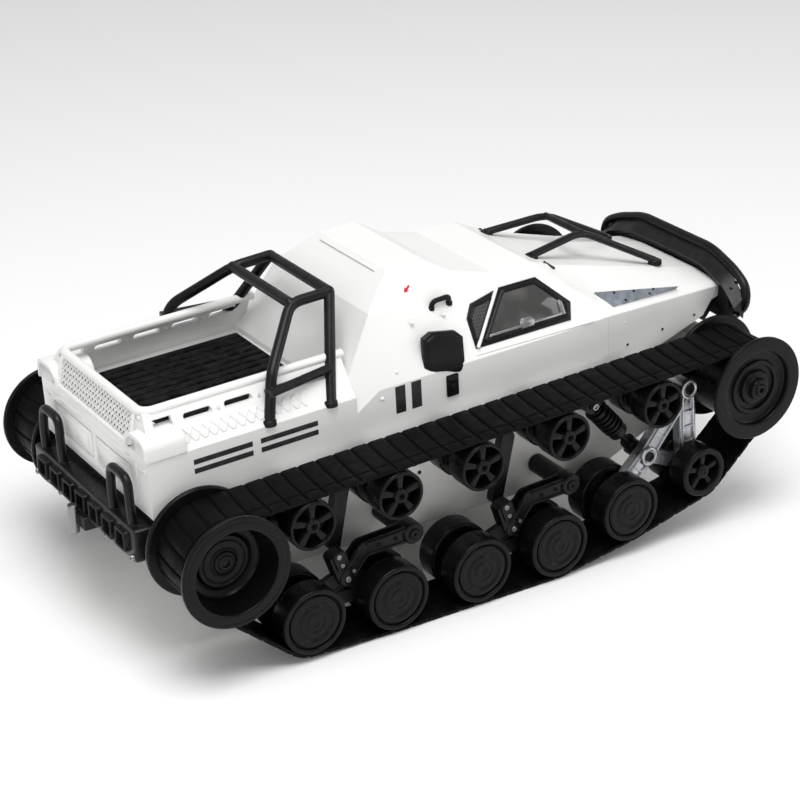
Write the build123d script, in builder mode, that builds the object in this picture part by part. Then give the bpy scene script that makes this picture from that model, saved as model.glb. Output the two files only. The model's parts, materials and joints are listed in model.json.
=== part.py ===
from build123d import *
import os
from math import acos, atan2, cos, hypot, pi, radians, sin, tan

os.makedirs("parts", exist_ok=True)

# Tracked off-road vehicle of the 1:12 radio-control class: hull, body, running gear and drive.
# The ground is Z = 0, +X points forward and +Y to the left.  The road wheels and the hull
# floor are level.  The upper body, the return rollers and the top run of the tracks rise
# towards the nose by the rake angle, so the body is drawn in the raked deck frame.

# ---------------------------------------------------------------- driving dimensions
rake = 2.5                      # nose-up slope of deck, rollers and top run, degrees
deck_start = (8.4, 0, 0.15)     # origin of the raked deck frame

hull_half = 66.0                # half width of the chassis tub
body_half = 68.0                # half width of the body shell
belt_in, belt_out = 77.4, 113.8     # track edges, distance from the middle plane
wheel_in, wheel_out = 78.0, 115.5   # faces of the double wheels
gap_in, gap_out = 92.5, 101.0       # free slot between the two wheel discs
flange_in, flange_out = 73.0, 117.4     # faces of sprocket and idler

belt_clear = 0.4                # wheels run this far inside the track
belt_thick = 2.6
belt_base = 1.5                 # belt left under the tread grooves
pad_pitch = 11.0

sprocket_at = (-170.0, 69.8)    # x, z of the rear drive sprocket
idler_at = (180.0, 86.8)
flange_radius = 32.0
drum_radius = 24.2
road_radius = 19.4
road_at = [(-123.6, 24.4), (-70.3, 22.4), (-14.8, 22.4), (38.7, 22.4), (89.7, 30.7)]
front_radius = 15.4
front_at = (143.4, 40.6)
roller_radius = 14.2
roller_at = [(-122.8, 82.5), (-68.1, 84.9), (-14.4, 87.2), (44.1, 89.8), (110.7, 92.7)]

arm_pivot = [(-52.0, 51.4), (55.7, 51.2)]       # hull pivots of the trailing arms
beam_pivot = [(-95.0, 36.0), (15.5, 34.6)]      # where each arm carries its bogie beam
rocker_pivot = (140.5, 90.5)
damper_top = (78.0, 92.0)
damper_eye = (112.5, 54.0)

shell = 2.0                     # wall of the moulded body
tub_wall = 2.5
fit = 0.05                      # radial running fit of a pin in its bore
axle_radius = 2.0
hub_radius = 3.5
pivot_radius = 3.0

RIGHT, LEFT = -1, 1
SIDES = {"right": RIGHT, "left": LEFT}


# ---------------------------------------------------------------- frames and helpers
def deck_direction():
    return (cos(radians(rake)), 0, sin(radians(rake)))


def deck_normal():
    return (-sin(radians(rake)), 0, cos(radians(rake)))


DECK = Plane(origin=deck_start, x_dir=deck_direction(), z_dir=deck_normal())
DECK_SIDE = Plane(origin=deck_start, x_dir=deck_direction(), z_dir=(0, -1, 0))


def deck_section(u):
    """Cross plane of the raked frame at station u: local x is world Y, local y goes up."""
    return Plane(origin=DECK.from_local_coords((u, 0, 0)), x_dir=(0, 1, 0), z_dir=deck_direction())


def deck_point(u, y, v):
    return tuple(DECK.from_local_coords((u, y, v)))


def side_plane(y):
    """Upright plane across Y at y: local x is world X, local y is world Z."""
    return Plane.XZ.offset(-y)


def between(side, inner, outer):
    """Plane and depth that fill the band between two distances from the middle plane."""
    return side_plane(max(side * inner, side * outer)), outer - inner


def turned(at, side, outline):
    """Solid of revolution about the Y line through at = (x, z); outline holds (radius, distance)."""
    x, z = at
    with BuildPart() as body:
        with BuildSketch(Plane((x, 0, z), x_dir=(1, 0, 0), z_dir=(0, 0, 1))):
            with BuildLine():
                Polyline(*[(radius, side * away) for radius, away in outline], close=True)
            make_face()
        revolve(axis=Axis((x, 0, z), (0, 1, 0)))
    return body.part


def tube(points, radius, bend):
    """Round bar along a line of points with its corners bent to the given radius."""
    with BuildPart() as bar:
        with BuildLine() as path:
            if len(points) > 2:
                FilletPolyline(*points, radius=bend)
            else:
                Line(*points)
        with BuildSketch(Plane(origin=path.line @ 0, z_dir=path.line % 0)):
            Circle(radius)
        sweep(path=path.line)
    return bar.part


def link(plane, depth, start, start_radius, end, end_radius):
    """Flat tapered link between two round ends, drawn on a side plane."""
    with BuildPart() as body:
        with BuildSketch(plane):
            with Locations(start):
                Circle(start_radius)
            with Locations(end):
                Circle(end_radius)
            make_hull()
        extrude(amount=depth)
    return body.part


def pin(at, side, inner, outer, radius):
    plane, depth = between(side, inner, outer)
    with BuildPart() as body:
        with BuildSketch(plane):
            with Locations(at):
                Circle(radius)
        extrude(amount=depth)
    return body.part


def save(part, name):
    part.label = name
    export_step(part, f"parts/{name}.step")


# ---------------------------------------------------------------- tracks
def belt_circles(extra):
    """Wheels in the order the belt meets them, going forward along the ground."""
    wheels = [(at, road_radius) for at in road_at]
    wheels.append((front_at, front_radius))
    wheels.append((idler_at, drum_radius))
    wheels.append((sprocket_at, drum_radius))
    return [(x, z, radius + extra) for (x, z), radius in wheels]


def tangents(circles):
    """For each wheel, the angles at which the belt arrives and leaves."""
    leave = []
    for here, ahead in zip(circles, circles[1:] + circles[:1]):
        run = hypot(ahead[0] - here[0], ahead[1] - here[1])
        heading = atan2(ahead[1] - here[1], ahead[0] - here[0])
        leave.append(heading - acos((here[2] - ahead[2]) / run))
    arrive = leave[-1:] + leave[:-1]
    return [(a, b if b >= a - 1e-9 else b + 2 * pi) for a, b in zip(arrive, leave)]


def on_circle(circle, angle):
    return (circle[0] + circle[2] * cos(angle), circle[1] + circle[2] * sin(angle))


def belt_face(extra):
    """Area inside the closed belt line that runs a distance outside the wheels."""
    circles = belt_circles(extra)
    turns = tangents(circles)
    with BuildSketch() as area:
        with BuildLine():
            for index, (circle, (start, stop)) in enumerate(zip(circles, turns)):
                following = (index + 1) % len(circles)
                if stop - start > 0.001:
                    middle = on_circle(circle, (start + stop) / 2)
                    ThreePointArc(on_circle(circle, start), middle, on_circle(circle, stop))
                next_start = on_circle(circles[following], turns[following][0])
                Line(on_circle(circle, stop), next_start)
        make_face()
    return area.sketch


def belt_stations(extra, count):
    """Evenly spaced points along the belt line with the outward direction at each."""
    circles = belt_circles(extra)
    turns = tangents(circles)
    spans = []
    for index, (circle, (start, stop)) in enumerate(zip(circles, turns)):
        following = (index + 1) % len(circles)
        here = on_circle(circle, stop)
        there = on_circle(circles[following], turns[following][0])
        spans.append((circle[2] * (stop - start), hypot(there[0] - here[0], there[1] - here[1])))
    total = sum(arc + run for arc, run in spans)
    stations = []
    for step in range(count):
        left = total * step / count
        for index, (arc, run) in enumerate(spans):
            circle = circles[index]
            start, stop = turns[index]
            if left < arc:
                angle = start + left / circle[2]
                stations.append((*on_circle(circle, angle), angle))
                break
            left -= arc
            if left < run:
                x, z = on_circle(circle, stop)
                stations.append((x - left * sin(stop), z + left * cos(stop), stop))
                break
            left -= run
    return stations


def belt_length(extra):
    circles = belt_circles(extra)
    arcs = sum(c[2] * (stop - start) for c, (start, stop) in zip(circles, tangents(circles)))
    runs = 0
    for here, ahead in zip(circles, circles[1:] + circles[:1]):
        span = hypot(ahead[0] - here[0], ahead[1] - here[1])
        runs += (span ** 2 - (here[2] - ahead[2]) ** 2) ** 0.5
    return arcs + runs


def track(side):
    """Rubber belt: a plain band with one groove across the tread for every pad."""
    plane, width = between(side, belt_in, belt_out)
    pads = round(belt_length(belt_clear + belt_thick) / pad_pitch)
    groove_deep = belt_thick - belt_base
    with BuildPart() as belt:
        with BuildSketch(plane):
            add(belt_face(belt_clear + belt_thick))
            add(belt_face(belt_clear), mode=Mode.SUBTRACT)
        extrude(amount=width)
        middle = side * (belt_in + belt_out) / 2
        places = []
        for x, z, angle in belt_stations(belt_clear + belt_thick, pads):
            turn = -angle * 180 / pi
            places.append(Location((x, middle, z), (0, turn, 0)))
        with Locations(*places):
            Box(2 * groove_deep, width + 2, 1.3, mode=Mode.SUBTRACT)
    return belt.part


for side_name, side in SIDES.items():
    save(track(side), f"track_{side_name}")


# ---------------------------------------------------------------- sprocket and idler
def sprocket(side):
    return turned(sprocket_at, side, [
        (pivot_radius, flange_in), (flange_radius, flange_in), (flange_radius, 76.0),
        (flange_radius - 1, 76.4), (drum_radius, 76.8), (drum_radius, 114.0),
        (flange_radius - 0.6, 114.5), (flange_radius, 114.9), (flange_radius, flange_out - 0.5),
        (flange_radius - 0.5, flange_out), (24.6, flange_out), (24.0, flange_out - 0.6),
        (21.8, 101.0), (18.6, 99.2), (15.6, 99.2), (15.2, 102.4), (6.6, 102.4), (6.2, 103.6),
        (pivot_radius, 103.6)])


def idler(side):
    return turned(idler_at, side, [
        (axle_radius + fit, flange_in), (flange_radius, flange_in), (flange_radius, 76.0),
        (flange_radius - 1, 76.4), (drum_radius, 76.8), (drum_radius, 114.0),
        (flange_radius - 0.6, 114.5), (flange_radius, 114.9), (flange_radius, flange_out - 0.5),
        (flange_radius - 0.5, flange_out), (23.0, flange_out), (22.4, 113.6), (16.2, 113.0),
        (15.8, 114.8), (14.6, 114.8), (14.2, 112.6), (10.2, 112.6), (9.8, 115.2), (6.0, 115.6),
        (5.4, 120.0), (4.6, 120.6), (axle_radius + fit, 120.6)])


for side_name, side in SIDES.items():
    save(sprocket(side), f"sprocket_{side_name}")
    save(idler(side), f"idler_{side_name}")


# ---------------------------------------------------------------- road wheels and rollers
def road_wheel(at, side):
    """Two tyred discs on one hub, with a slot in the middle for the suspension plates."""
    rim = road_radius
    return turned(at, side, [
        (0, wheel_in), (5, wheel_in), (6, wheel_in + 3), (15, wheel_in + 3), (16, wheel_in),
        (rim - 0.6, wheel_in), (rim, wheel_in + 0.6), (rim, gap_in - 0.6), (rim - 0.6, gap_in),
        (hub_radius, gap_in), (hub_radius, gap_out), (rim - 0.6, gap_out), (rim, gap_out + 0.6),
        (rim, wheel_out - 0.6), (rim - 0.6, wheel_out), (16.6, wheel_out), (16.2, 113.9),
        (15.4, 113.9), (15.0, 114.8), (11.2, 115.3), (10.8, 114.2), (9.4, 114.2), (9.0, 115.1),
        (4.2, 115.4), (3.8, 114.6), (0, 114.6)])


def spoke_windows(at, side, outer_face, rim, hub, depth, count=5):
    """Pockets between the spokes of an open-faced wheel, cut from its outer face."""
    inner, outer = outer_face - depth, outer_face + 1
    plane, thickness = between(side, inner, outer)
    with BuildPart() as pockets:
        with BuildSketch(plane):
            with Locations(at):
                Circle(rim)
                Circle(hub, mode=Mode.SUBTRACT)
                for index in range(count):
                    angle = 90 + index * 360 / count
                    Rectangle(2 * rim, 3.0, align=(Align.MIN, Align.CENTER), rotation=angle,
                              mode=Mode.SUBTRACT)
        extrude(amount=thickness)
    return pockets.part


def return_roller(at, side):
    """Double roller with an open five-spoke face, turning on a fixed stub axle."""
    rim = roller_radius
    bore = axle_radius + fit
    body = turned(at, side, [
        (bore, wheel_in), (rim - 0.6, wheel_in), (rim, wheel_in + 0.6), (rim, gap_in - 0.6),
        (rim - 0.6, gap_in), (rim - 3.4, gap_in), (rim - 3.4, gap_out), (rim - 0.6, gap_out),
        (rim, gap_out + 0.6), (rim, wheel_out - 0.5), (rim - 0.5, wheel_out),
        (rim - 1.8, wheel_out), (rim - 2.2, wheel_out - 1.2), (4.4, wheel_out - 1.2),
        (4.0, wheel_out), (bore, wheel_out)])
    with BuildPart() as roller:
        add(body)
        add(spoke_windows(at, side, wheel_out, rim - 2.4, 4.4, 7), mode=Mode.SUBTRACT)
    return roller.part


def front_wheel(at, side):
    """Small double wheel at the front of the rocker, with spokes in its outer face."""
    rim = front_radius
    body = turned(at, side, [
        (0, wheel_in), (rim - 0.6, wheel_in), (rim, wheel_in + 0.6), (rim, gap_in - 0.6),
        (rim - 0.6, gap_in), (hub_radius, gap_in), (hub_radius, gap_out), (rim - 0.6, gap_out),
        (rim, gap_out + 0.6), (rim, wheel_out - 0.6), (rim - 0.6, wheel_out),
        (rim - 3.4, wheel_out), (rim - 3.8, wheel_out - 1.4), (4.4, wheel_out - 1.4),
        (4.0, wheel_out - 0.2), (0, wheel_out - 0.2)])
    with BuildPart() as wheel:
        add(body)
        add(spoke_windows(at, side, wheel_out, rim - 4.2, 4.6, 7), mode=Mode.SUBTRACT)
    return wheel.part


for side_name, side in SIDES.items():
    for number, at in enumerate(road_at, start=1):
        save(road_wheel(at, side), f"road_wheel_{side_name}_{number}")
    for number, at in enumerate(roller_at, start=1):
        save(return_roller(at, side), f"return_roller_{side_name}_{number}")
    save(front_wheel(front_at, side), f"front_wheel_{side_name}")


# ---------------------------------------------------------------- suspension
cheek_in, cheek_out = (92.9, 94.5), (99.0, 100.6)   # fork cheeks of the trailing arm
beam_in, beam_out = 94.9, 98.6                      # bogie beam between the cheeks
boss_radius = 5.6


def trailing_arm(pivot, end, side):
    """Pivot tube beside the hull and an elbow-shaped fork that straddles the bogie beam."""
    elbow = (end[0] + 11.5, pivot[1] - 1.5)
    with BuildPart() as arm:
        add(pin(pivot, side, hull_half + 0.4, gap_in, boss_radius))
        add(pin(pivot, side, gap_in, cheek_out[1], boss_radius + 0.6))
        for inner, outer in (cheek_in, cheek_out):
            plane, depth = between(side, inner, outer)
            add(link(plane, depth, pivot, 5.0, elbow, 4.4))
            add(link(plane, depth, elbow, 4.4, end, 4.6))
        add(pin(end, side, cheek_in[0], cheek_out[1], 2.2))
        add(pin(pivot, side, hull_half, 99.0, pivot_radius + fit), mode=Mode.SUBTRACT)
    return arm.part


def bogie_beam(rear, front, top, side):
    """Triangular plate that joins a pair of road wheels and rocks on the arm's end."""
    plane, depth = between(side, beam_in, beam_out)
    with BuildPart() as beam:
        add(link(plane, depth, rear, 6.4, top, 5.2))
        add(link(plane, depth, front, 6.4, top, 5.2))
        add(link(plane, depth, rear, 4.0, front, 4.0))
        for at in (rear, front):
            add(pin(at, side, gap_in + 0.4, gap_out - 0.4, 6.0))
            add(pin(at, side, gap_in, gap_out, hub_radius + fit), mode=Mode.SUBTRACT)
        add(pin(top, side, beam_in, beam_out, 2.2 + fit), mode=Mode.SUBTRACT)
    return beam.part


def front_rocker(side):
    """Cast V-shaped rocker that carries the last road wheel and the small front wheel."""
    plate_in, plate_out = 93.6, 99.8
    plane, depth = between(side, plate_in, plate_out)
    rear, front = road_at[4], front_at
    with BuildPart() as rocker:
        add(pin(rocker_pivot, side, hull_half + 0.4, plate_out + 1.5, 6.0))
        add(link(plane, depth, rocker_pivot, 5.6, damper_eye, 6.0))
        add(link(plane, depth, damper_eye, 6.0, rear, 6.4))
        add(link(plane, depth, rocker_pivot, 5.6, front, 6.2))
        add(link(plane, depth, damper_eye, 4.0, front, 4.0))
        for at in (rear, front):
            add(pin(at, side, gap_in, gap_out, hub_radius + fit), mode=Mode.SUBTRACT)
        add(pin(damper_eye, side, 82.4, plate_in, 2.2))
        add(pin(damper_eye, side, 80.8, 82.4, 3.4))
        add(pin(rocker_pivot, side, hull_half, 97.0, pivot_radius + fit), mode=Mode.SUBTRACT)
    return rocker.part


damper_axis = 87.5              # distance of the front damper from the middle plane
damper_radius, rod_radius = 5.4, 2.4
rod_start, cylinder_end = 17.0, 32.0    # measured from the upper eye
damper_length = hypot(damper_eye[0] - damper_top[0], damper_eye[1] - damper_top[1])
damper_aim = ((damper_eye[0] - damper_top[0]) / damper_length,
              (damper_eye[1] - damper_top[1]) / damper_length)


def damper_frame(side):
    """Plane across the damper at its top eye, with its normal towards the lower eye."""
    return Plane(origin=(damper_top[0], side * damper_axis, damper_top[1]), x_dir=(0, 1, 0),
                 z_dir=(damper_aim[0], 0, damper_aim[1]))


def damper_body(side):
    """Damper cylinder with its upper eye; the rod's bore is open at the lower end."""
    across = damper_frame(side)
    with BuildPart() as body:
        with BuildSketch(across.offset(4.5)):
            Circle(damper_radius)
        extrude(amount=cylinder_end - 4.5)
        with BuildSketch(across.offset(cylinder_end - 4.5)):
            Circle(damper_radius + 0.6)
        extrude(amount=4.5)
        with BuildSketch(across):
            Rectangle(8, 8)
        extrude(amount=8)
        add(pin(damper_top, side, damper_axis - 4, damper_axis + 4, damper_radius))
        with BuildSketch(across.offset(rod_start - 5)):
            Circle(rod_radius + 0.1)
        extrude(amount=cylinder_end, mode=Mode.SUBTRACT)
        bore = pin(damper_top, side, damper_axis - 6, damper_axis + 6, pivot_radius + fit)
        add(bore, mode=Mode.SUBTRACT)
    return body.part


def damper_rod(side):
    """Damper rod with its lower eye, which is held with play on the rocker's pin."""
    across = damper_frame(side)
    with BuildPart() as rod:
        with BuildSketch(across.offset(rod_start)):
            Circle(rod_radius)
        extrude(amount=damper_length - rod_start - 4)
        with BuildSketch(across.offset(damper_length - 9)):
            Circle(4.6)
        extrude(amount=4)
        add(pin(damper_eye, side, 83.0, 92.6, 5.2))
        add(pin(damper_eye, side, 82.0, 93.0, 3.0), mode=Mode.SUBTRACT)
    return rod.part


def hanger(side, top, foot):
    """Bump-stop strut that hangs from the hull between two return rollers."""
    plane, depth = between(side, 80.0, 86.0)
    with BuildPart() as strut:
        add(link(plane, depth, top, 4.4, foot, 3.6))
        add(pin(top, side, hull_half, 80.0, 4.0))
        add(pin((foot[0] + 1.5, foot[1] + 13), side, hull_half, 80.0, 3.0))
    return strut.part


for side_name, side in SIDES.items():
    for number in (1, 2):
        pivot, end = arm_pivot[number - 1], beam_pivot[number - 1]
        rear, front = road_at[2 * number - 2], road_at[2 * number - 1]
        save(trailing_arm(pivot, end, side), f"trailing_arm_{side_name}_{number}")
        save(bogie_beam(rear, front, end, side), f"bogie_beam_{side_name}_{number}")
    save(front_rocker(side), f"front_rocker_{side_name}")
    save(damper_body(side), f"damper_body_{side_name}")
    save(damper_rod(side), f"damper_rod_{side_name}")

strut_ends = [((-88.0, 82.0), (-93.5, 49.0)), ((22.0, 84.0), (15.0, 47.0))]

with BuildPart() as hull_studs:
    for side in SIDES.values():
        for top, foot in strut_ends:
            add(hanger(side, top, foot))
        for at in roller_at:
            add(pin(at, side, hull_half - tub_wall, wheel_in - 0.4, 4.0))
            add(pin(at, side, wheel_in - 0.4, 113.0, axle_radius))
        add(pin(idler_at, side, hull_half - tub_wall, flange_in - 0.4, 3.2))
        add(pin(idler_at, side, flange_in - 0.4, 118.0, axle_radius))
        for at in arm_pivot:
            add(pin(at, side, hull_half - tub_wall, 98.6, pivot_radius))
        add(pin(rocker_pivot, side, hull_half - tub_wall, 96.6, pivot_radius))
        add(pin(damper_top, side, hull_half - tub_wall, damper_axis - 6, 4.6))
        add(pin(damper_top, side, damper_axis - 6, damper_axis + 5, pivot_radius))
save(hull_studs.part, "hull_studs")


# ---------------------------------------------------------------- chassis tub
tub_top = 94.0                  # height of the seam between tub and body, deck frame
gear_teeth, pinion_teeth, gear_module = 36, 12, 0.75
gear_centres = gear_module * (gear_teeth + pinion_teeth) / 2
motor_at = (sprocket_at[0] + gear_centres, sprocket_at[1])


def seam_height(x):
    """World height of the tub and body seam above station x."""
    return deck_start[2] + (x - deck_start[0]) * tan(radians(rake)) + tub_top / cos(radians(rake))


tub_rear, tub_front, tub_floor = -188.0, 191.0, 34.0
tub_outline = [
    (tub_rear, seam_height(tub_rear)), (tub_rear, 62.0), (-163.0, 40.0), (-145.0, tub_floor),
    (100.0, tub_floor), (155.0, 58.0), (tub_front, 92.0), (tub_front, seam_height(tub_front))]
gearbox_plate = [(-186.0, 86.0), (-186.0, 63.0), (-163.0, 42.0), (-145.0, 35.5), (-119.0, 35.5),
                 (-119.0, 86.0)]

battery_x = 25.0                # middle of the battery door, below the cab
switch_x, switch_y = -55.0, 30.0
board_x = -65.0

with BuildPart() as chassis_tub:
    with BuildSketch(Plane.XZ):
        with BuildLine():
            Polyline(*tub_outline, close=True)
        make_face()
    extrude(amount=hull_half, both=True)
    top = chassis_tub.faces().filter_by(Plane(origin=(0, 0, 0), z_dir=deck_normal()))
    offset(amount=-tub_wall, openings=top.sort_by(Axis.Z)[-1])
    for side in SIDES.values():
        # gearbox plate with the shaft bearing and the motor's front boss
        plane, depth = between(side, 42.0, 45.0)
        with BuildSketch(plane):
            Polygon(*gearbox_plate, align=None)
        extrude(amount=depth)
        add(pin(sprocket_at, side, 40.0, hull_half + 1.6, pivot_radius + fit), mode=Mode.SUBTRACT)
        add(pin(motor_at, side, 41.0, 46.0, 3.6), mode=Mode.SUBTRACT)
        for at in roller_at:
            add(pin(at, side, hull_half - tub_wall, hull_half + 1, 4.0), mode=Mode.SUBTRACT)
        add(pin(idler_at, side, hull_half - tub_wall, hull_half + 1, 3.2), mode=Mode.SUBTRACT)
        for at in (*arm_pivot, rocker_pivot):
            add(pin(at, side, hull_half - tub_wall, hull_half + 1, pivot_radius), mode=Mode.SUBTRACT)
        add(pin(damper_top, side, hull_half - tub_wall, hull_half + 1, 4.6), mode=Mode.SUBTRACT)
    # opening for the battery door and the slot of the power switch
    with Locations((battery_x, 0, tub_floor)):
        Box(92, 56, 12, mode=Mode.SUBTRACT)
    with Locations((switch_x, switch_y, tub_floor)):
        Box(12, 5, 12, mode=Mode.SUBTRACT)
    cut_below = Box(420, 140, 60, align=(Align.CENTER, Align.CENTER, Align.MIN), mode=Mode.PRIVATE)
    add(DECK.offset(tub_top) * cut_below, mode=Mode.SUBTRACT)
save(chassis_tub.part, "chassis_tub")

FROM_BELOW = (Align.CENTER, Align.CENTER, Align.MIN)

with BuildPart() as battery_door:
    with Locations((battery_x, 0, tub_floor)):
        Box(91, 55, 2.4, align=FROM_BELOW)
    with Locations((battery_x, 0, tub_floor + 2.4)):
        Box(84, 48, 1.6, align=FROM_BELOW)
    with Locations((battery_x, 0, tub_floor)):
        with GridLocations(0, 6, 1, 5):
            Box(60, 2, 1.0, align=FROM_BELOW, mode=Mode.SUBTRACT)
save(battery_door.part, "battery_door")

with BuildPart() as electronics:
    with Locations((battery_x, 0, tub_floor + 5)):
        Box(72, 44, 24, align=FROM_BELOW)
    fillet(electronics.edges().filter_by(Axis.X), 4)
    # receiver and speed controller board on four posts
    with Locations((board_x, 0, tub_floor + 6)):
        Box(56, 40, 1.6, align=FROM_BELOW)
    with Locations((board_x, 0, tub_floor + tub_wall)):
        with GridLocations(46, 30, 2, 2):
            Cylinder(2, 3.5, align=FROM_BELOW)
    with Locations((board_x - 10, 0, tub_floor + 7.6)):
        Box(16, 16, 4, align=FROM_BELOW)
    with Locations((board_x + 14, 8, tub_floor + 7.6)):
        Box(10, 8, 9, align=FROM_BELOW)
save(electronics.part, "electronics")

with BuildPart() as power_switch:
    with Locations((switch_x - 1.6, switch_y, tub_floor - 1.4)):
        Box(6, 4.2, 6.6, align=FROM_BELOW)
    with Locations((switch_x - 1.6, switch_y, tub_floor + 3)):
        Box(8, 9, 2.4, align=FROM_BELOW)
save(power_switch.part, "power_switch")


# ---------------------------------------------------------------- drive
pressure_angle = radians(25)
addendum = 0.85 * gear_module
dedendum = 1.15 * gear_module
backlash = 0.2


def tooth_flank(teeth):
    """Half angle of an involute tooth at rising radii, as (radius, angle) points."""
    pitch = teeth * gear_module / 2
    base = pitch * cos(pressure_angle)
    root, tip = pitch - dedendum, pitch + addendum
    half = pi / (2 * teeth) - backlash / (2 * pitch)
    shift = half + tan(pressure_angle) - pressure_angle
    start = max(root, base)
    flank = [(root - 0.3, shift)]
    steps = 5
    for step in range(steps + 1):
        radius = start + (tip - start) * step / steps
        slope = acos(min(1.0, base / radius))
        flank.append((radius, shift - tan(slope) + slope))
    return root, flank


def spur_gear(teeth, at, side, inner, outer, first_tooth):
    """Involute spur gear across Y with one tooth centred on the angle first_tooth."""
    root, flank = tooth_flank(teeth)
    upper = [(r * cos(a), r * sin(a)) for r, a in flank]
    lower = [(x, -y) for x, y in reversed(upper)]
    plane, depth = between(side, inner, outer)
    with BuildPart() as gear:
        with BuildSketch(plane):
            with Locations(at):
                Circle(root)
                with PolarLocations(0, teeth, start_angle=first_tooth):
                    Polygon(*upper, *lower, align=None)
        extrude(amount=depth)
    return gear.part


for side_name, side in SIDES.items():
    with BuildPart() as drive_gear:
        add(spur_gear(gear_teeth, sprocket_at, side, 48.0, 54.0, 0.0))
        add(pin(sprocket_at, side, 45.6, 57.0, 6.0))
        add(pin(sprocket_at, side, 42.2, 102.0, pivot_radius))
    save(drive_gear.part, f"drive_gear_{side_name}")

    with BuildPart() as motor_pinion:
        add(spur_gear(pinion_teeth, motor_at, side, 47.6, 54.4, 180 / pinion_teeth))
        add(pin(motor_at, side, 46.8, 56.0, 1.0), mode=Mode.SUBTRACT)
    save(motor_pinion.part, f"motor_pinion_{side_name}")

with BuildPart() as drive_motors:
    for side in SIDES.values():
        add(pin(motor_at, side, 11.0, 41.6, 11.8))
        add(pin(motor_at, side, 41.6, 45.4, 3.4))
        add(pin(motor_at, side, 45.4, 54.0, 0.95))
save(drive_motors.part, "drive_motors")


# ---------------------------------------------------------------- body shell
# Half sections of the cab and hood: station, side crease, shoulder, roof edge.
cab_sections = [
    (-80.0, (68.0, 128.0), (51.5, 167.0), (37.8, 182.6)),
    (-50.0, (68.0, 128.0), (51.5, 167.0), (37.8, 182.6)),
    (-18.0, (68.0, 128.0), (51.0, 159.6), (37.8, 182.8)),
    (-4.0, (68.0, 128.0), (50.0, 158.4), (37.8, 183.0)),
    (14.0, (68.0, 128.0), (47.6, 157.6), (38.2, 171.6)),
    (40.0, (68.0, 128.0), (46.8, 158.7), (39.5, 164.2)),
    (66.0, (68.0, 128.0), (46.8, 158.7), (39.5, 164.6)),
    (84.0, (67.6, 128.0), (54.0, 148.2), (35.5, 156.0)),
    (104.0, (65.4, 127.4), (58.0, 133.6), (33.0, 149.5)),
    (200.5, (50.0, 116.6), (47.0, 118.6), (26.0, 120.6)),
]
skirt_bottom = 94.2
bed_floor = 125.0
bed_rear, bed_front = -196.0, -77.0
rail_height, rail_half = 148.6, 51.2


def body_section(crease, shoulder, roof, bottom, inset=0.0):
    """Outline of the shell across the body, for one station."""
    right = [(crease[0] - inset, bottom), (crease[0] - inset, crease[1]),
             (shoulder[0] - inset, shoulder[1] - inset), (roof[0] - inset, roof[1] - inset)]
    return right + [(-y, v) for y, v in reversed(right)]


def body_loft(inset, bottom, grow_front):
    """Faceted hull of the cab and hood between the section stations."""
    with BuildPart() as body:
        for index, (u, crease, shoulder, roof) in enumerate(cab_sections):
            last = index == len(cab_sections) - 1
            station = u + grow_front if last else u
            low = 110.0 - inset if last else bottom
            if index == 0:
                station = u + inset
            with BuildSketch(deck_section(station)):
                with BuildLine():
                    Polyline(*body_section(crease, shoulder, roof, low, inset), close=True)
                make_face()
        loft(ruled=True)
    return body.part


def side_prism(points, half):
    """Prism across the body from an outline of (u, v) points in the raked frame."""
    with BuildPart() as prism:
        with BuildSketch(DECK_SIDE):
            with BuildLine():
                Polyline(*points, close=True)
            make_face()
        extrude(amount=half, both=True)
    return prism.part


def rear_slope(inset):
    """Wedge behind the cab that leaves its two sloping rear panels."""
    wall = -76.0 + inset
    bottom = bed_floor - inset
    return side_prism([
        (-90, bottom), (wall, bottom), (wall, 128.0), (-50.0 + inset, 167.0),
        (-28.6 + inset, 182.7), (-10.0, 197.0), (-90.0, 197.0)], 80)


def corner_slope(side):
    """Wedge off the rear corner of the cab, from the crease up to the shoulder."""
    low = deck_point(-55.0, side * 68.4, 127.0)
    end = deck_point(-77.0, side * 62.0, 127.0)
    high = deck_point(-50.0, side * 51.7, 167.2)
    return Plane(origin=low, x_dir=Vector(*end) - Vector(*low),
                 z_dir=(Vector(*end) - Vector(*low)).cross(Vector(*high) - Vector(*low)) * side)


def bed_prism(points, first, last):
    """Prism along the cargo box from a cross outline of (y, v) points."""
    with BuildPart() as prism:
        with BuildSketch(deck_section(first)):
            with BuildLine():
                Polyline(*points, close=True)
            make_face()
        extrude(amount=last - first)
    return prism.part


def deck_box(low, high):
    """Box between two corners given in the raked frame."""
    with BuildPart(DECK) as box:
        with Locations(tuple((a + b) / 2 for a, b in zip(low, high))):
            Box(*(b - a for a, b in zip(low, high)))
    return box.part


def cab_solid():
    """Solid of the cab and hood with its sloping rear and chamfered rear corners."""
    with BuildPart() as cab:
        add(body_loft(0.0, skirt_bottom, 0.0))
        add(rear_slope(0.0), mode=Mode.SUBTRACT)
        for side in SIDES.values():
            with BuildSketch(corner_slope(side)):
                Rectangle(160, 160)
            extrude(amount=40, mode=Mode.SUBTRACT)
    return cab.part


def cab_cavity():
    """Inside of the cab and hood, one wall thickness in."""
    with BuildPart() as cavity:
        add(body_loft(shell, skirt_bottom - 4, -4.0))
        add(rear_slope(shell), mode=Mode.SUBTRACT)
        for side in SIDES.values():
            with BuildSketch(corner_slope(side).offset(-shell)):
                Rectangle(160, 160)
            extrude(amount=40, mode=Mode.SUBTRACT)
    return cavity.part


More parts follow.
